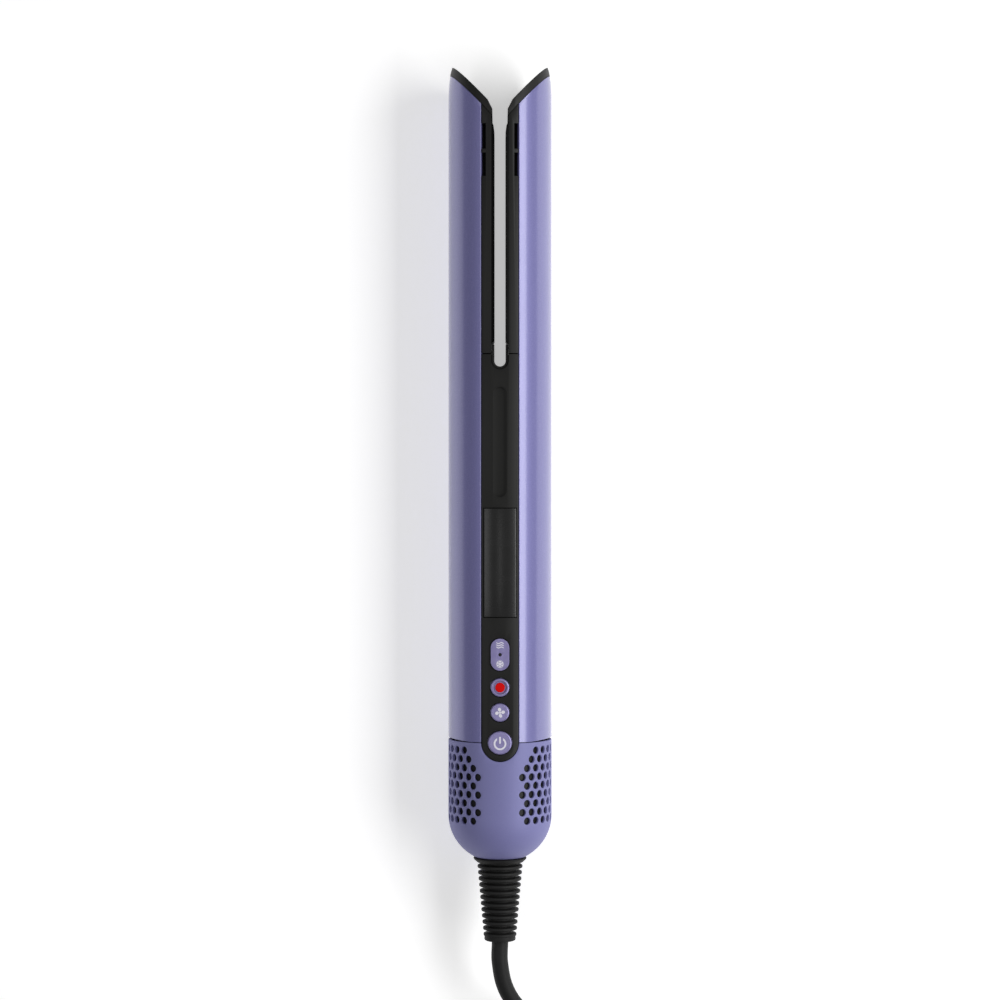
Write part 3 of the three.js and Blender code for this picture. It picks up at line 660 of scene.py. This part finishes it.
smoked, where = new_finish("polished_smoked_polycarbonate")
haze = add_node(smoked, "ShaderNodeTexNoise", {"Vector": where, "Scale": 90.0, "Detail": 2.0})
shade = add_node(smoked, "ShaderNodeMix", {
    "Factor_Float": haze, "A_Color": colour("1e1e1e"), "B_Color": colour("242424"),
}, data_type="RGBA")
gloss = add_node(smoked, "ShaderNodeMapRange", {"Value": haze, "To Min": 0.24, "To Max": 0.3})
shade_with(smoked, {"Base Color": shade, "Roughness": gloss, "IOR": 1.58,
                    "Specular IOR Level": 0.3})

GLASS_DEPTH = 0.15
GLASS_UNDERSIDE = 18.6
GLASS_CORNER = 0.7
GLASS_EDGE = 0.15
glass = block("display_window", (-DISPLAY_HALF, DISPLAY_ENDS[0], GLASS_UNDERSIDE),
              (DISPLAY_HALF, DISPLAY_ENDS[1], BODY_RADIUS - GLASS_DEPTH), GLASS_CORNER)
soften(glass, GLASS_EDGE, 2)
crown(glass, BODY_RADIUS - GLASS_DEPTH, BODY_RADIUS - 0.6)
settle(glass, smoked, "handle", "smoked_glass", "display_glass")

# ---- Buttons ------------------------------------------------------------------------------------
# Lavender moulded buttons that stand 0.3 mm proud: a two-ended rocker, a dished heat button with a
# red lens, a fan button and a larger power button. Their marks are printed in white enamel.

PROUD = 20.9
BUTTON_FLANGE = 17.1
BUTTON_FOOT = 16.3
FOOT_END = 14.4
FOOT_RADIUS = 1.2
FLANGE = 0.8
RIM = 0.55
ROCKER_UNDERSIDE = 16.6
ROCKER_FEET = 3.4
LIGHT_HOLE = 0.65
LIGHT_FLOOR = 20

# Satin-painted ABS: violet with a pearl sheen, a little orange peel at 0.8 mm.
satin, where = new_finish("satin_violet_paint")
peel_cloud = add_node(satin, "ShaderNodeTexNoise", {"Vector": where, "Scale": 700.0, "Detail": 3.0})
tint = add_node(satin, "ShaderNodeMix", {
    "Factor_Float": peel_cloud, "A_Color": colour("8d85bd"), "B_Color": colour("a19ac9"),
}, data_type="RGBA")
peel = add_node(satin, "ShaderNodeBump", {
    "Height": peel_cloud, "Strength": 0.12, "Distance": 6e-5,
})
shade_with(satin, {"Base Color": tint, "Metallic": 0.45, "Roughness": 0.33, "Normal": peel,
                   "Coat Weight": 0.2, "Coat Roughness": 0.15})

# Pad-printed white enamel, slightly glossy and a little uneven.
enamel, where = new_finish("printed_white_enamel")
uneven = add_node(enamel, "ShaderNodeTexNoise", {"Vector": where, "Scale": 2000.0, "Detail": 2.0})
tone = add_node(enamel, "ShaderNodeMix", {
    "Factor_Float": uneven, "A_Color": colour("e2dff0"), "B_Color": colour("f6f5fb"),
}, data_type="RGBA")
shade_with(enamel, {"Base Color": tone, "Roughness": 0.35})

# Red translucent lens: moulded acrylic, even and saturated, with a soft gloss.
red_lens, where = new_finish("moulded_red_acrylic")
cast = add_node(red_lens, "ShaderNodeTexNoise", {"Vector": where, "Scale": 1200.0, "Detail": 2.0})
tone = add_node(red_lens, "ShaderNodeMix", {
    "Factor_Float": cast, "A_Color": colour("d60000"), "B_Color": colour("e60202"),
}, data_type="RGBA")
shade_with(red_lens, {"Base Color": tone, "Roughness": 0.5, "IOR": 1.49,
                      "Specular IOR Level": 0.15})

rocker = stadium("rocker", ROUND_BUTTON, *ROCKER_ENDS, ROCKER_UNDERSIDE, PROUD, sides=80)
rocker_middle = sum(ROCKER_ENDS) / 2
for shift in (-ROCKER_FEET, ROCKER_FEET):
    foot = disc("foot", 1, FOOT_END, ROCKER_UNDERSIDE + 0.3, (0, rocker_middle + shift), 24)
    combine(rocker, foot, operation="UNION")
combine(rocker, disc("light_hole", LIGHT_HOLE, LIGHT_FLOOR, CUT_HIGH, (0, rocker_middle), 32))
soften(rocker, 0.45, 4)
settle(rocker, satin, "mode_rocker", "lavender_plastic", "mode_rocker")

# Its pilot light is a small smoked lens, unlit.
light = turned("mode_lens", [(0.5, 19.95), (0.5, 20.65), (0.35, 20.78)], "z",
               (0, rocker_middle), 32)
settle(light, smoked, "mode_rocker", "smoked_glass", "mode_light")


def round_button(name, radius, place, dish):
    """A button's foot, flange, head and rounded rim, and the dish in its top if it has one."""
    rings = [(FOOT_RADIUS, FOOT_END), (FOOT_RADIUS, BUTTON_FOOT), (radius + FLANGE, BUTTON_FOOT),
             (radius + FLANGE, BUTTON_FLANGE), (radius, BUTTON_FLANGE), (radius, PROUD - RIM)]
    for turn in range(1, 7):
        angle = turn * math.pi / 12
        rings.append((radius - RIM * (1 - math.cos(angle)), PROUD - RIM * (1 - math.sin(angle))))
    if dish:
        rings += [(radius - 0.85, PROUD - 0.04), (radius - 1.15, PROUD - 0.3),
                  (radius - 1.3, PROUD - 0.85)]
    else:
        rings += [(radius * 0.6, PROUD - 0.06), (radius * 0.25, PROUD - 0.1)]
    return turned(name, rings, "z", (0, place), 72)


heat = round_button("heat_key", ROUND_BUTTON, HEAT_PLACE, True)
settle(heat, satin, "heat_button", "lavender_plastic", "heat_button")
lens = turned("heat_lens", [(1.9, 20.1), (1.9, 20.55), (1.75, 20.7), (0.9, 20.76)], "z",
              (0, HEAT_PLACE), 48)
settle(lens, red_lens, "heat_button", "red_insert", "heat_dot")
fan = round_button("fan_key", ROUND_BUTTON, FAN_PLACE, False)
settle(fan, satin, "fan_button", "lavender_plastic", "fan_button")
power = round_button("power_key", POWER_BUTTON, STRIP_TONGUE, False)
settle(power, satin, "power_button", "lavender_plastic", "power_button")

# The printed marks, as thin raised inlays: an airflow sign and a cool sign on the rocker, a fan,
# and the on and off sign.

MARK_LOW = 20.7
MARK_TOP = 20.93
MARK_SHIFT = 3.7
WAVE_WIDTH = 2.9
WAVE_STROKE = 0.36
WAVE_SWING = 0.2
WAVE_LENGTH = 2.2
WAVE_PITCH = 0.85
STAR_BAR = 3.0


def weld(pieces):
    """Welds overlapping pieces into the first of them."""
    return combine(pieces[0], *pieces[1:], operation="UNION")


def bar(name, length, width, middle, turn=0):
    """A short printed bar, centred on a point and turned."""
    half = Vector((width / 2, length / 2, 0))
    low = Vector((*middle, MARK_LOW)) - half
    high = Vector((*middle, MARK_TOP)) + half
    piece = block(name, low, high)
    return piece if not turn else turn_piece(piece, turn, (*middle, 0))


def turn_piece(piece, turn, about):
    matrix = Euler((0, 0, turn)).to_matrix()
    for vertex in piece.data.vertices:
        vertex.co = matrix @ (vertex.co - Vector(about)) + Vector(about)
    return piece


# Three wavy lines for the air.
airflow = []
for lift in (-WAVE_PITCH, 0, WAVE_PITCH):
    bpy.ops.object.select_all(action="DESELECT")
    bpy.ops.mesh.primitive_grid_add(x_subdivisions=20, y_subdivisions=1, size=1)
    wave = bpy.context.object
    for vertex in wave.data.vertices:
        x = vertex.co.x * WAVE_WIDTH
        y = vertex.co.y * WAVE_STROKE + WAVE_SWING * math.sin(x * 2 * math.pi / WAVE_LENGTH)
        vertex.co = (x, rocker_middle + MARK_SHIFT + lift + y, MARK_LOW)
    edit_all(wave)
    bpy.ops.mesh.extrude_region_move(TRANSFORM_OT_translate={"value": (0, 0, MARK_TOP - MARK_LOW)})
    leave_edit()
    face_out(wave)
    airflow.append(wave)
pick(airflow[0])
for wave in airflow:
    wave.select_set(True)
bpy.ops.object.join()
airflow = bpy.context.object
airflow.name = airflow.data.name = "airflow_mark"
settle(airflow, enamel, "mode_rocker", "white_light")

# A snow star: three bars across each other, each with a pair of barbs near both ends.
centre = (0, rocker_middle - MARK_SHIFT)
star = []
for turn in (0, math.pi / 3, -math.pi / 3):
    star.append(bar("bar", STAR_BAR, 0.34, centre, turn + 0.001))
    for end in (-1, 1):
        for lean in (-1, 1):
            spoke = Vector((lean * 0.3, end * 1.05, 0))
            spoke.rotate(Euler((0, 0, turn)))
            middle = (centre[0] + spoke.x, centre[1] + spoke.y)
            star.append(bar("barb", 0.85, 0.26, middle, turn - lean * end * math.pi / 4))
star = weld(star)
star.name = star.data.name = "cool_mark"
settle(star, enamel, "mode_rocker", "white_light")

# Four blades round a hub, each set off to one side as a fan's are.
BLADE_RADIUS = 0.62
BLADE_TURN = 0.5
blades = []
for turn in range(4):
    blade = disc("blade", BLADE_RADIUS, MARK_LOW, MARK_TOP, (0, 0), 32)
    for vertex in blade.data.vertices:
        vertex.co.x = vertex.co.x * 1.05 + 0.42
        vertex.co.y = vertex.co.y * 1.2 + 1.15
    turn_piece(blade, turn * math.pi / 2 + BLADE_TURN, (0, 0, 0))
    for vertex in blade.data.vertices:
        vertex.co.y += FAN_PLACE
    blades.append(blade)
blades.append(disc("hub", 0.45, MARK_LOW, MARK_TOP, (0, FAN_PLACE), 32))
fan_mark = weld(blades)
fan_mark.name = fan_mark.data.name = "fan_mark"
settle(fan_mark, enamel, "fan_button", "white_light")

# A ring open at the top, and an upright stroke in the gap.
POWER_RING = 2.15
STROKE = 0.7
POWER_MARK = STRIP_TONGUE - 0.3
ring = disc("power_mark", POWER_RING + STROKE / 2, MARK_LOW, MARK_TOP, (0, POWER_MARK), 72)
combine(
    ring,
    disc("inside", POWER_RING - STROKE / 2, 20, 22, (0, POWER_MARK), 72),
    stadium("gap", 1.15, POWER_MARK + 0.4, POWER_MARK + 8, 20, 22),
)
stroke = stadium("stroke", STROKE / 2, POWER_MARK, POWER_MARK + 2.8, MARK_LOW, MARK_TOP, 24)
combine(ring, stroke, operation="UNION")
settle(ring, enamel, "power_button", "white_light")

# ---- Base cage ----------------------------------------------------------------------------------
# The perforated air intake: one thin moulding with a domed end, a flat on its back and a notch for
# the tongue of the front strip. It is drawn as a flat sheet, drilled, and then rolled up.

CAGE_TOP = 47.4
CAGE_END = 0.4
CAGE_WALL = 1.1
DOME_START = 17
DOME_RISE = 19.1
CAGE_HOLE_REACH = 5.4
HOLE_RADIUS = 1.45
HOLE_ROWS = 9
HOLE_FIRST = 44.2
HOLE_PITCH = 3.46
HOLE_STEP = 12
REAR_HOLES = 4
ROLL_STEP = 3
DOME_STEP = 4
CAGE_EDGE = 0.22
DRILL_SIDES = 28


def hole_angles(row):
    """Angles from the front, on one side: the rows are staggered and clear the strip's tongue."""
    even = row % 2 == 0
    first = {1: 43.5, 2: 37.5}.get(row, 25.5 if even else 31.5)
    count = round(((97.5 if even else 91.5) - first) / HOLE_STEP) + 1
    rear = 117.5 if even else 111.5
    sides = [first + HOLE_STEP * k for k in range(count)]
    return sides + [rear + HOLE_STEP * k for k in range(REAR_HOLES)]


def dome_radius(y):
    down = max(0, (DOME_START - y) / DOME_RISE)
    return BODY_RADIUS * math.sqrt(1 - down**2)


ARC = BODY_RADIUS * math.pi / 180
DISC = dome_radius(CAGE_END) - CAGE_HOLE_REACH
cage = block("cage", (-180 * ARC, CAGE_END - DISC, -CAGE_WALL), (180 * ARC, CAGE_TOP, 0))
drills = []
for row in range(1, HOLE_ROWS + 1):
    for angle in hole_angles(row):
        for side in (-1, 1):
            place = (side * angle * ARC, HOLE_FIRST - (row - 1) * HOLE_PITCH)
            drills.append(disc("drill", HOLE_RADIUS, -3, 1, place, DRILL_SIDES))
pick(drills[0])
for drill in drills:
    drill.select_set(True)
bpy.ops.object.join()
tongue = stadium("tongue", SHELL_EDGE, STRIP_TONGUE - SHELL_EDGE, STRIP_TONGUE + 30, -3, 1, 96)
for vertex in tongue.data.vertices:
    vertex.co.x = BODY_RADIUS * math.asin(max(-1, min(1, vertex.co.x / BODY_RADIUS)))
combine(cage, bpy.context.view_layer.objects["drill"], tongue)

mesh = bmesh.new()
mesh.from_mesh(cage.data)
seam = [face for face in mesh.faces if abs(abs(face.calc_center_median().x) - 180 * ARC) < 1e-3]
bmesh.ops.delete(mesh, geom=seam, context="FACES")
mesh.to_mesh(cage.data)
mesh.free()
soften(cage, CAGE_EDGE, 2)

edit_all(cage)
for step in range(-180 + ROLL_STEP, 180, ROLL_STEP):
    bpy.ops.mesh.select_all(action="SELECT")
    bpy.ops.mesh.bisect(plane_co=(step * ARC, 0, 0), plane_no=(1, 0, 0), threshold=1e-5)
ring_places = [CAGE_END + 1e-3]
for k in range(15):
    ring_places.append(DOME_START - DOME_RISE * math.sin(math.radians(DOME_STEP * k)))
ring_places += [HOLE_FIRST + HOLE_PITCH * (0.5 - k) for k in range(HOLE_ROWS)]
for place in ring_places:
    bpy.ops.mesh.select_all(action="SELECT")
    bpy.ops.mesh.bisect(plane_co=(0, place, 0), plane_no=(0, 1, 0), threshold=1e-5)
leave_edit()


def rolled(point):
    """Where a point of the flat sheet lies on the cage: x runs round it and z is its depth."""
    turn, depth = point.x / BODY_RADIUS, -point.z
    if point.y >= CAGE_END:
        down = max(0, DOME_START - point.y)
        radius = dome_radius(point.y)
        slope = Vector((radius / BODY_RADIUS**2, -down / DOME_RISE**2)).normalized()
        radius, y = radius - depth * slope.x, point.y - depth * slope.y
    else:
        radius, y = dome_radius(CAGE_END) - (CAGE_END - point.y), CAGE_END + depth
    height = max(radius * math.cos(turn), FLAT_HEIGHT + depth)
    return Vector((radius * math.sin(turn), y, height))


for vertex in cage.data.vertices:
    vertex.co = rolled(vertex.co)
edit_all(cage)
bpy.ops.mesh.remove_doubles(threshold=2e-3)
leave_edit()

# Satin violet ABS: the same hue as the lacquer, but moulded through and less metallic, so that it
# is softer and a little bluer. The texture is a 0.3 mm grain.
cage_abs, where = new_finish("satin_lavender_abs")
grain = add_node(cage_abs, "ShaderNodeTexNoise", {"Vector": where, "Scale": 3000.0, "Detail": 3.0})
tint = add_node(cage_abs, "ShaderNodeMix", {
    "Factor_Float": grain, "A_Color": colour("7a7ab0"), "B_Color": colour("8685b8"),
}, data_type="RGBA")
dull = add_node(cage_abs, "ShaderNodeMapRange", {"Value": grain, "To Min": 0.54, "To Max": 0.62})
bump = add_node(cage_abs, "ShaderNodeBump", {"Height": grain, "Strength": 0.12, "Distance": 4e-5})
shade_with(cage_abs, {"Base Color": tint, "Metallic": 0.1, "Roughness": dull, "Normal": bump})
settle(cage, cage_abs, "handle", "lavender_metallic", "base_cage")

# ---- Dust liner ---------------------------------------------------------------------------------
# A thin black sleeve just behind the cage's holes, open at both ends and notched for the strip, so
# that no light shows through the base from side to side.

LINER_DEPTH = 1.3
LINER_WALL = 0.3
LINER_LEVELS = (1.2, 3, 5, 8, 11, 14, DOME_START, CAGE_TOP - 0.3)
inset = [rolled(Vector((0, level, -LINER_DEPTH))) for level in LINER_LEVELS]
liner = turned("dust_liner", [(point.z, point.y) for point in inset], sides=96)
face_out(liner)
saw(liner, (0, 0, FLAT_HEIGHT + LINER_DEPTH), (0, 0, -1))
mesh = bmesh.new()
mesh.from_mesh(liner.data)
open_ends = [face for face in mesh.faces if abs(face.normal.y) > 0.99]
bmesh.ops.delete(mesh, geom=open_ends, context="FACES")
mesh.to_mesh(liner.data)
mesh.free()
apply_modifier(liner, "SOLIDIFY", thickness=LINER_WALL, offset=-1, use_even_offset=True)
notch = SHELL_EDGE + 0.2
combine(liner, stadium("notch", notch, STRIP_TONGUE - notch, STRIP_TONGUE + 30, 5, 30))
settle(liner, black_abs, "handle", "black_plastic")

# ---- Strain relief ------------------------------------------------------------------------------
# A flexible black rubber sleeve moulded round the cord: a flared rim that covers the hole in the
# base, twelve ribs that taper with the sleeve, and a thick collar at its end.

RIBS = 12
RIB_PITCH = 2.47
RIB_FIRST = -1.8
SLEEVE_END = -33.2
rings = [(5.1, 5.3), (6.9, 5.3), (6.9, 3.5), (5.1, 3.5), (5.1, 0.1), (10.3, 0.1), (10.6, -0.15),
         (10.55, -0.4), (10.2, -0.9), (9.7, -1.3), (9.2, RIB_FIRST)]
for rib in range(RIBS):
    top = RIB_FIRST - rib * RIB_PITCH
    outer = 9 - 0.22 * rib
    core = 6.6 - 0.18 * rib
    rings += [
        (core + 0.25, top - 0.1), (core, top - 0.3), (core, top - 0.75), (core + 0.2, top - 0.95),
        (outer - 0.35, top - 1.15), (outer - 0.08, top - 1.3), (outer, top - 1.55),
        (outer, top - RIB_PITCH + 0.45), (outer - 0.1, top - RIB_PITCH + 0.25),
        (outer - 0.4, top - RIB_PITCH + 0.1),
    ]
rings += [(6.25, SLEEVE_END + 0.55), (6.1, SLEEVE_END + 0.2), (5.7, SLEEVE_END), (3.5, SLEEVE_END)]
sleeve = turned("cord_sleeve", rings, sides=96)
settle(sleeve, rubber, "handle", "black_rubber", "strain_relief")

# ---- Back: rear cover, lock and screws ----------------------------------------------------------
# The flat black back that the tool lies on, held by two countersunk screws, with the lavender
# thumb piece that slides up to lock the arms together.

refined("rear_cover", black_abs, "handle", 0.25)
refined("lock_slider", satin, "lock", 0.15)

# Zinc-plated steel: bright, with fine turning marks 0.2 mm apart.
steel, where = new_finish("zinc_plated_steel")
turning = add_node(steel, "ShaderNodeTexWave", {"Vector": where, "Scale": 800.0, "Distortion": 1.5},
                   wave_type="RINGS", rings_direction="Z")
gloss = add_node(steel, "ShaderNodeMapRange", {"Value": turning, "To Min": 0.26, "To Max": 0.38})
bump = add_node(steel, "ShaderNodeBump", {"Height": turning, "Strength": 0.1, "Distance": 3e-5})
shade_with(steel, {"Base Color": colour("b4b6ba"), "Metallic": 1.0, "Roughness": gloss,
                   "Normal": bump})

SCREW_PLACES = {"rear_screw_lower": 92, "rear_screw_upper": 178}
for name, place in SCREW_PLACES.items():
    screw = turned(name + "_steel", [
        (0.5, -11), (1.0, -11.4), (1.0, -17.6), (1.1, -17.7), (2.05, -17.7), (2.2, -17.85),
        (2.2, -18.6), (2.0, -18.85), (1.2, -18.9), (0.4, -18.9),
    ], "z", (0, place), 48)
    face_out(screw)
    for turn in (0.3, 0.3 + math.pi / 2):
        wing = block("wing", (-1.25, -0.24, -19.5), (1.25, 0.24, -18.25))
        turn_piece(wing, turn, (0, 0, 0))
        for vertex in wing.data.vertices:
            vertex.co.y += place
        combine(screw, wing)
    settle(screw, steel, "handle", "steel", name)

# ---- Hank tie and plug --------------------------------------------------------------------------
# A hook-and-loop strap goes once round the hank and closes on itself. The moulded two-pin plug
# rests on top, with its own short sleeve, half-insulated pins and nickel-plated tips.

# Woven nylon strap: black, with the 1 mm nap of its loops.
strap_weave, where = new_finish("woven_black_nylon")
nap = add_node(strap_weave, "ShaderNodeTexVoronoi", {"Vector": where, "Scale": 1000.0})
shade = add_node(strap_weave, "ShaderNodeMix", {
    "Factor_Float": nap, "A_Color": colour("101010"), "B_Color": colour("2c2c2e"),
}, data_type="RGBA")
bump = add_node(strap_weave, "ShaderNodeBump", {"Height": nap, "Strength": 0.6, "Distance": 2e-4})
shade_with(strap_weave, {"Base Color": shade, "Roughness": 0.9, "Normal": bump,
                         "Sheen Weight": 0.25})

tie_low, tie_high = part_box("hank_tie")
TIE_WALL = 0.8
TIE_CORNER = 4.2
low = (tie_low - TOOL_ORIGIN) / MM + Vector((TIE_WALL, 0, TIE_WALL))
high = (tie_high - TOOL_ORIGIN) / MM - Vector((TIE_WALL, 0, TIE_WALL))
bpy.ops.object.select_all(action="DESELECT")
bpy.ops.mesh.primitive_cube_add(size=1, location=(low + high) / 2)
tie = bpy.context.object
tie.scale = high - low
bpy.ops.object.transform_apply()
tie.name = tie.data.name = "hank_strap"
edit_all(tie)
bpy.ops.mesh.select_all(action="DESELECT")
mesh = bmesh.from_edit_mesh(tie.data)
bmesh.ops.delete(mesh, geom=[f for f in mesh.faces if abs(f.normal.y) > 0.9], context="FACES_ONLY")
for edge in mesh.edges:
    ends = [vertex.co for vertex in edge.verts]
    edge.select_set(abs(ends[0].y - ends[1].y) > 1)
bmesh.update_edit_mesh(tie.data)
bpy.ops.mesh.bevel(offset=TIE_CORNER, segments=8)
leave_edit()
apply_modifier(tie, "SOLIDIFY", thickness=TIE_WALL, offset=1, use_even_offset=True)
tab = block("tab", (-24, low.y + 0.4, high.z + TIE_WALL - 0.1),
            (-3, high.y - 0.4, high.z + 2 * TIE_WALL - 0.1), 3)
face_out(tie)
combine(tie, tab, operation="UNION")
soften(tie, 0.15, 2)
settle(tie, strap_weave, "handle", "black_rubber", "hank_tie")

refined("plug_body", rubber, "handle", 2.4, 4, 20)
plug_low, plug_high = [(corner - TOOL_ORIGIN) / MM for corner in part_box("plug_relief")]
plug_height = (plug_low.z + plug_high.z) / 2
rings = [(3.4, plug_high.y), (4.1, plug_high.y), (4.4, plug_high.y - 0.4)]
for rib in range(5):
    top = plug_high.y - 0.9 - rib * 2.6
    core, outer = 3.9 + rib * 0.1, 4.5 + rib * 0.22
    rings += [(core, top), (core, top - 0.8), (outer, top - 1.0), (outer, top - 2.3)]
rings += [(5.5, plug_low.y + 0.2), (5.4, plug_low.y)]
plug_sleeve = turned("plug_sleeve", rings, centre=(0, plug_height), sides=64)
settle(plug_sleeve, rubber, "handle", "black_rubber", "plug_relief")

# Nickel plate: bright and slightly yellow, polished.
nickel, where = new_finish("nickel_plated_brass")
wear = add_node(nickel, "ShaderNodeTexNoise", {"Vector": where, "Scale": 900.0, "Detail": 4.0})
gloss = add_node(nickel, "ShaderNodeMapRange", {"Value": wear, "To Min": 0.12, "To Max": 0.26})
shade_with(nickel, {"Base Color": colour("c9c6be"), "Metallic": 1.0, "Roughness": gloss})

plug_names = []
for word in ("left", "right"):
    pin_low, pin_high = [(corner - TOOL_ORIGIN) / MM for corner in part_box(f"plug_pin_{word}")]
    middle = ((pin_low.x + pin_high.x) / 2, (pin_low.z + pin_high.z) / 2)
    end, root = pin_low.y, pin_high.y
    pin = turned(f"pin_{word}", [
        (1.8, root), (1.8, root - 9.5), (2.0, root - 9.6), (2.0, end + 1.2), (1.85, end + 0.55),
        (1.4, end + 0.15), (0.8, end),
    ], centre=middle, sides=40)
    settle(pin, nickel, "handle", "nickel", f"plug_pin_{word}")
    sheath = turned(f"pin_sheath_{word}", [
        (1.86, root), (2.0, root), (2.0, root - 9.5), (1.86, root - 9.5),
    ], centre=middle, sides=40, ends="NOTHING")
    edit_all(sheath)
    bpy.ops.mesh.select_non_manifold()
    bpy.ops.mesh.bridge_edge_loops()
    leave_edit()
    settle(sheath, rubber, "handle", "black_rubber")
    plug_names += [pin.name, sheath.name]

# ---- Parts inside -------------------------------------------------------------------------------
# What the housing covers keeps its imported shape: the motor and its bearings, the boards and
# switches, the heaters and their sensors, the hinges and the intake filter.

# Open-cell polyurethane foam: charcoal, matt, with cells about 0.8 mm across.
foam, where = new_finish("charcoal_filter_foam")
cells = add_node(foam, "ShaderNodeTexVoronoi", {"Vector": where, "Scale": 1250.0})
shade = add_node(foam, "ShaderNodeMix", {
    "Factor_Float": cells, "A_Color": colour("050505"), "B_Color": colour("1c1c1e"),
}, data_type="RGBA")
bump = add_node(foam, "ShaderNodeBump", {"Height": cells, "Strength": 0.8, "Distance": 2e-4})
shade_with(foam, {"Base Color": shade, "Roughness": 0.95, "Normal": bump})

# Blued lamination steel: dark, in layers 0.5 mm thick along the motor.
laminated, where = new_finish("blued_lamination_steel")
layers = add_node(laminated, "ShaderNodeTexWave", {"Vector": where, "Scale": 320.0,
                  "Distortion": 0.2}, bands_direction="Y")
shade = add_node(laminated, "ShaderNodeMix", {
    "Factor_Float": layers, "A_Color": colour("3c3e42"), "B_Color": colour("5c5f64"),
}, data_type="RGBA")
shade_with(laminated, {"Base Color": shade, "Metallic": 0.9, "Roughness": 0.42})

# Extruded aluminium: pale, satin, with drawing lines 0.15 mm apart along its length.
aluminium, where = new_finish("extruded_aluminium")
stretched = add_node(aluminium, "ShaderNodeMapping", {"Vector": where, "Scale": (6000, 60, 6000)})
lines = add_node(aluminium, "ShaderNodeTexNoise", {"Vector": stretched, "Scale": 1.0})
gloss = add_node(aluminium, "ShaderNodeMapRange", {"Value": lines, "To Min": 0.3, "To Max": 0.46})
shade_with(aluminium, {"Base Color": colour("c3c5c8"), "Metallic": 1.0, "Roughness": gloss})

# Glass-epoxy circuit board under green solder mask, with the 1.2 mm weave of its cloth.
board, where = new_finish("green_masked_circuit_board")
weave = add_node(board, "ShaderNodeTexChecker", {"Vector": where, "Scale": 830.0}, output="Fac")
shade = add_node(board, "ShaderNodeMix", {
    "Factor_Float": weave, "A_Color": colour("17492f"), "B_Color": colour("1f5a3a"),
}, data_type="RGBA")
shade_with(board, {"Base Color": shade, "Roughness": 0.35})

INSIDE = (
    (foam, "filter_sleeve"),
    (laminated, "motor_stator", "motor_rotor"),
    (grey_abs, "motor_housing", "filter_capacitor", "display_module", "switch_heat", "switch_fan",
     "switch_power", "switch_mode_upper", "switch_mode_lower"),
    (steel, "bearing_lower", "bearing_upper", "hinge_pin_left", "hinge_pin_right",
     "hinge_spring_left", "hinge_spring_right", "motor_shaft", "thermal_sensor_left",
     "thermal_sensor_right"),
    (black_abs, "impeller"),
    (rubber, "deck_gasket"),
    (aluminium, "heater_core_left", "heater_core_right"),
    (board, "control_board", "power_board"),
)
for finish, *names in INSIDE:
    for name in names:
        nodes[name].data.materials.clear()
        nodes[name].data.materials.append(finish)
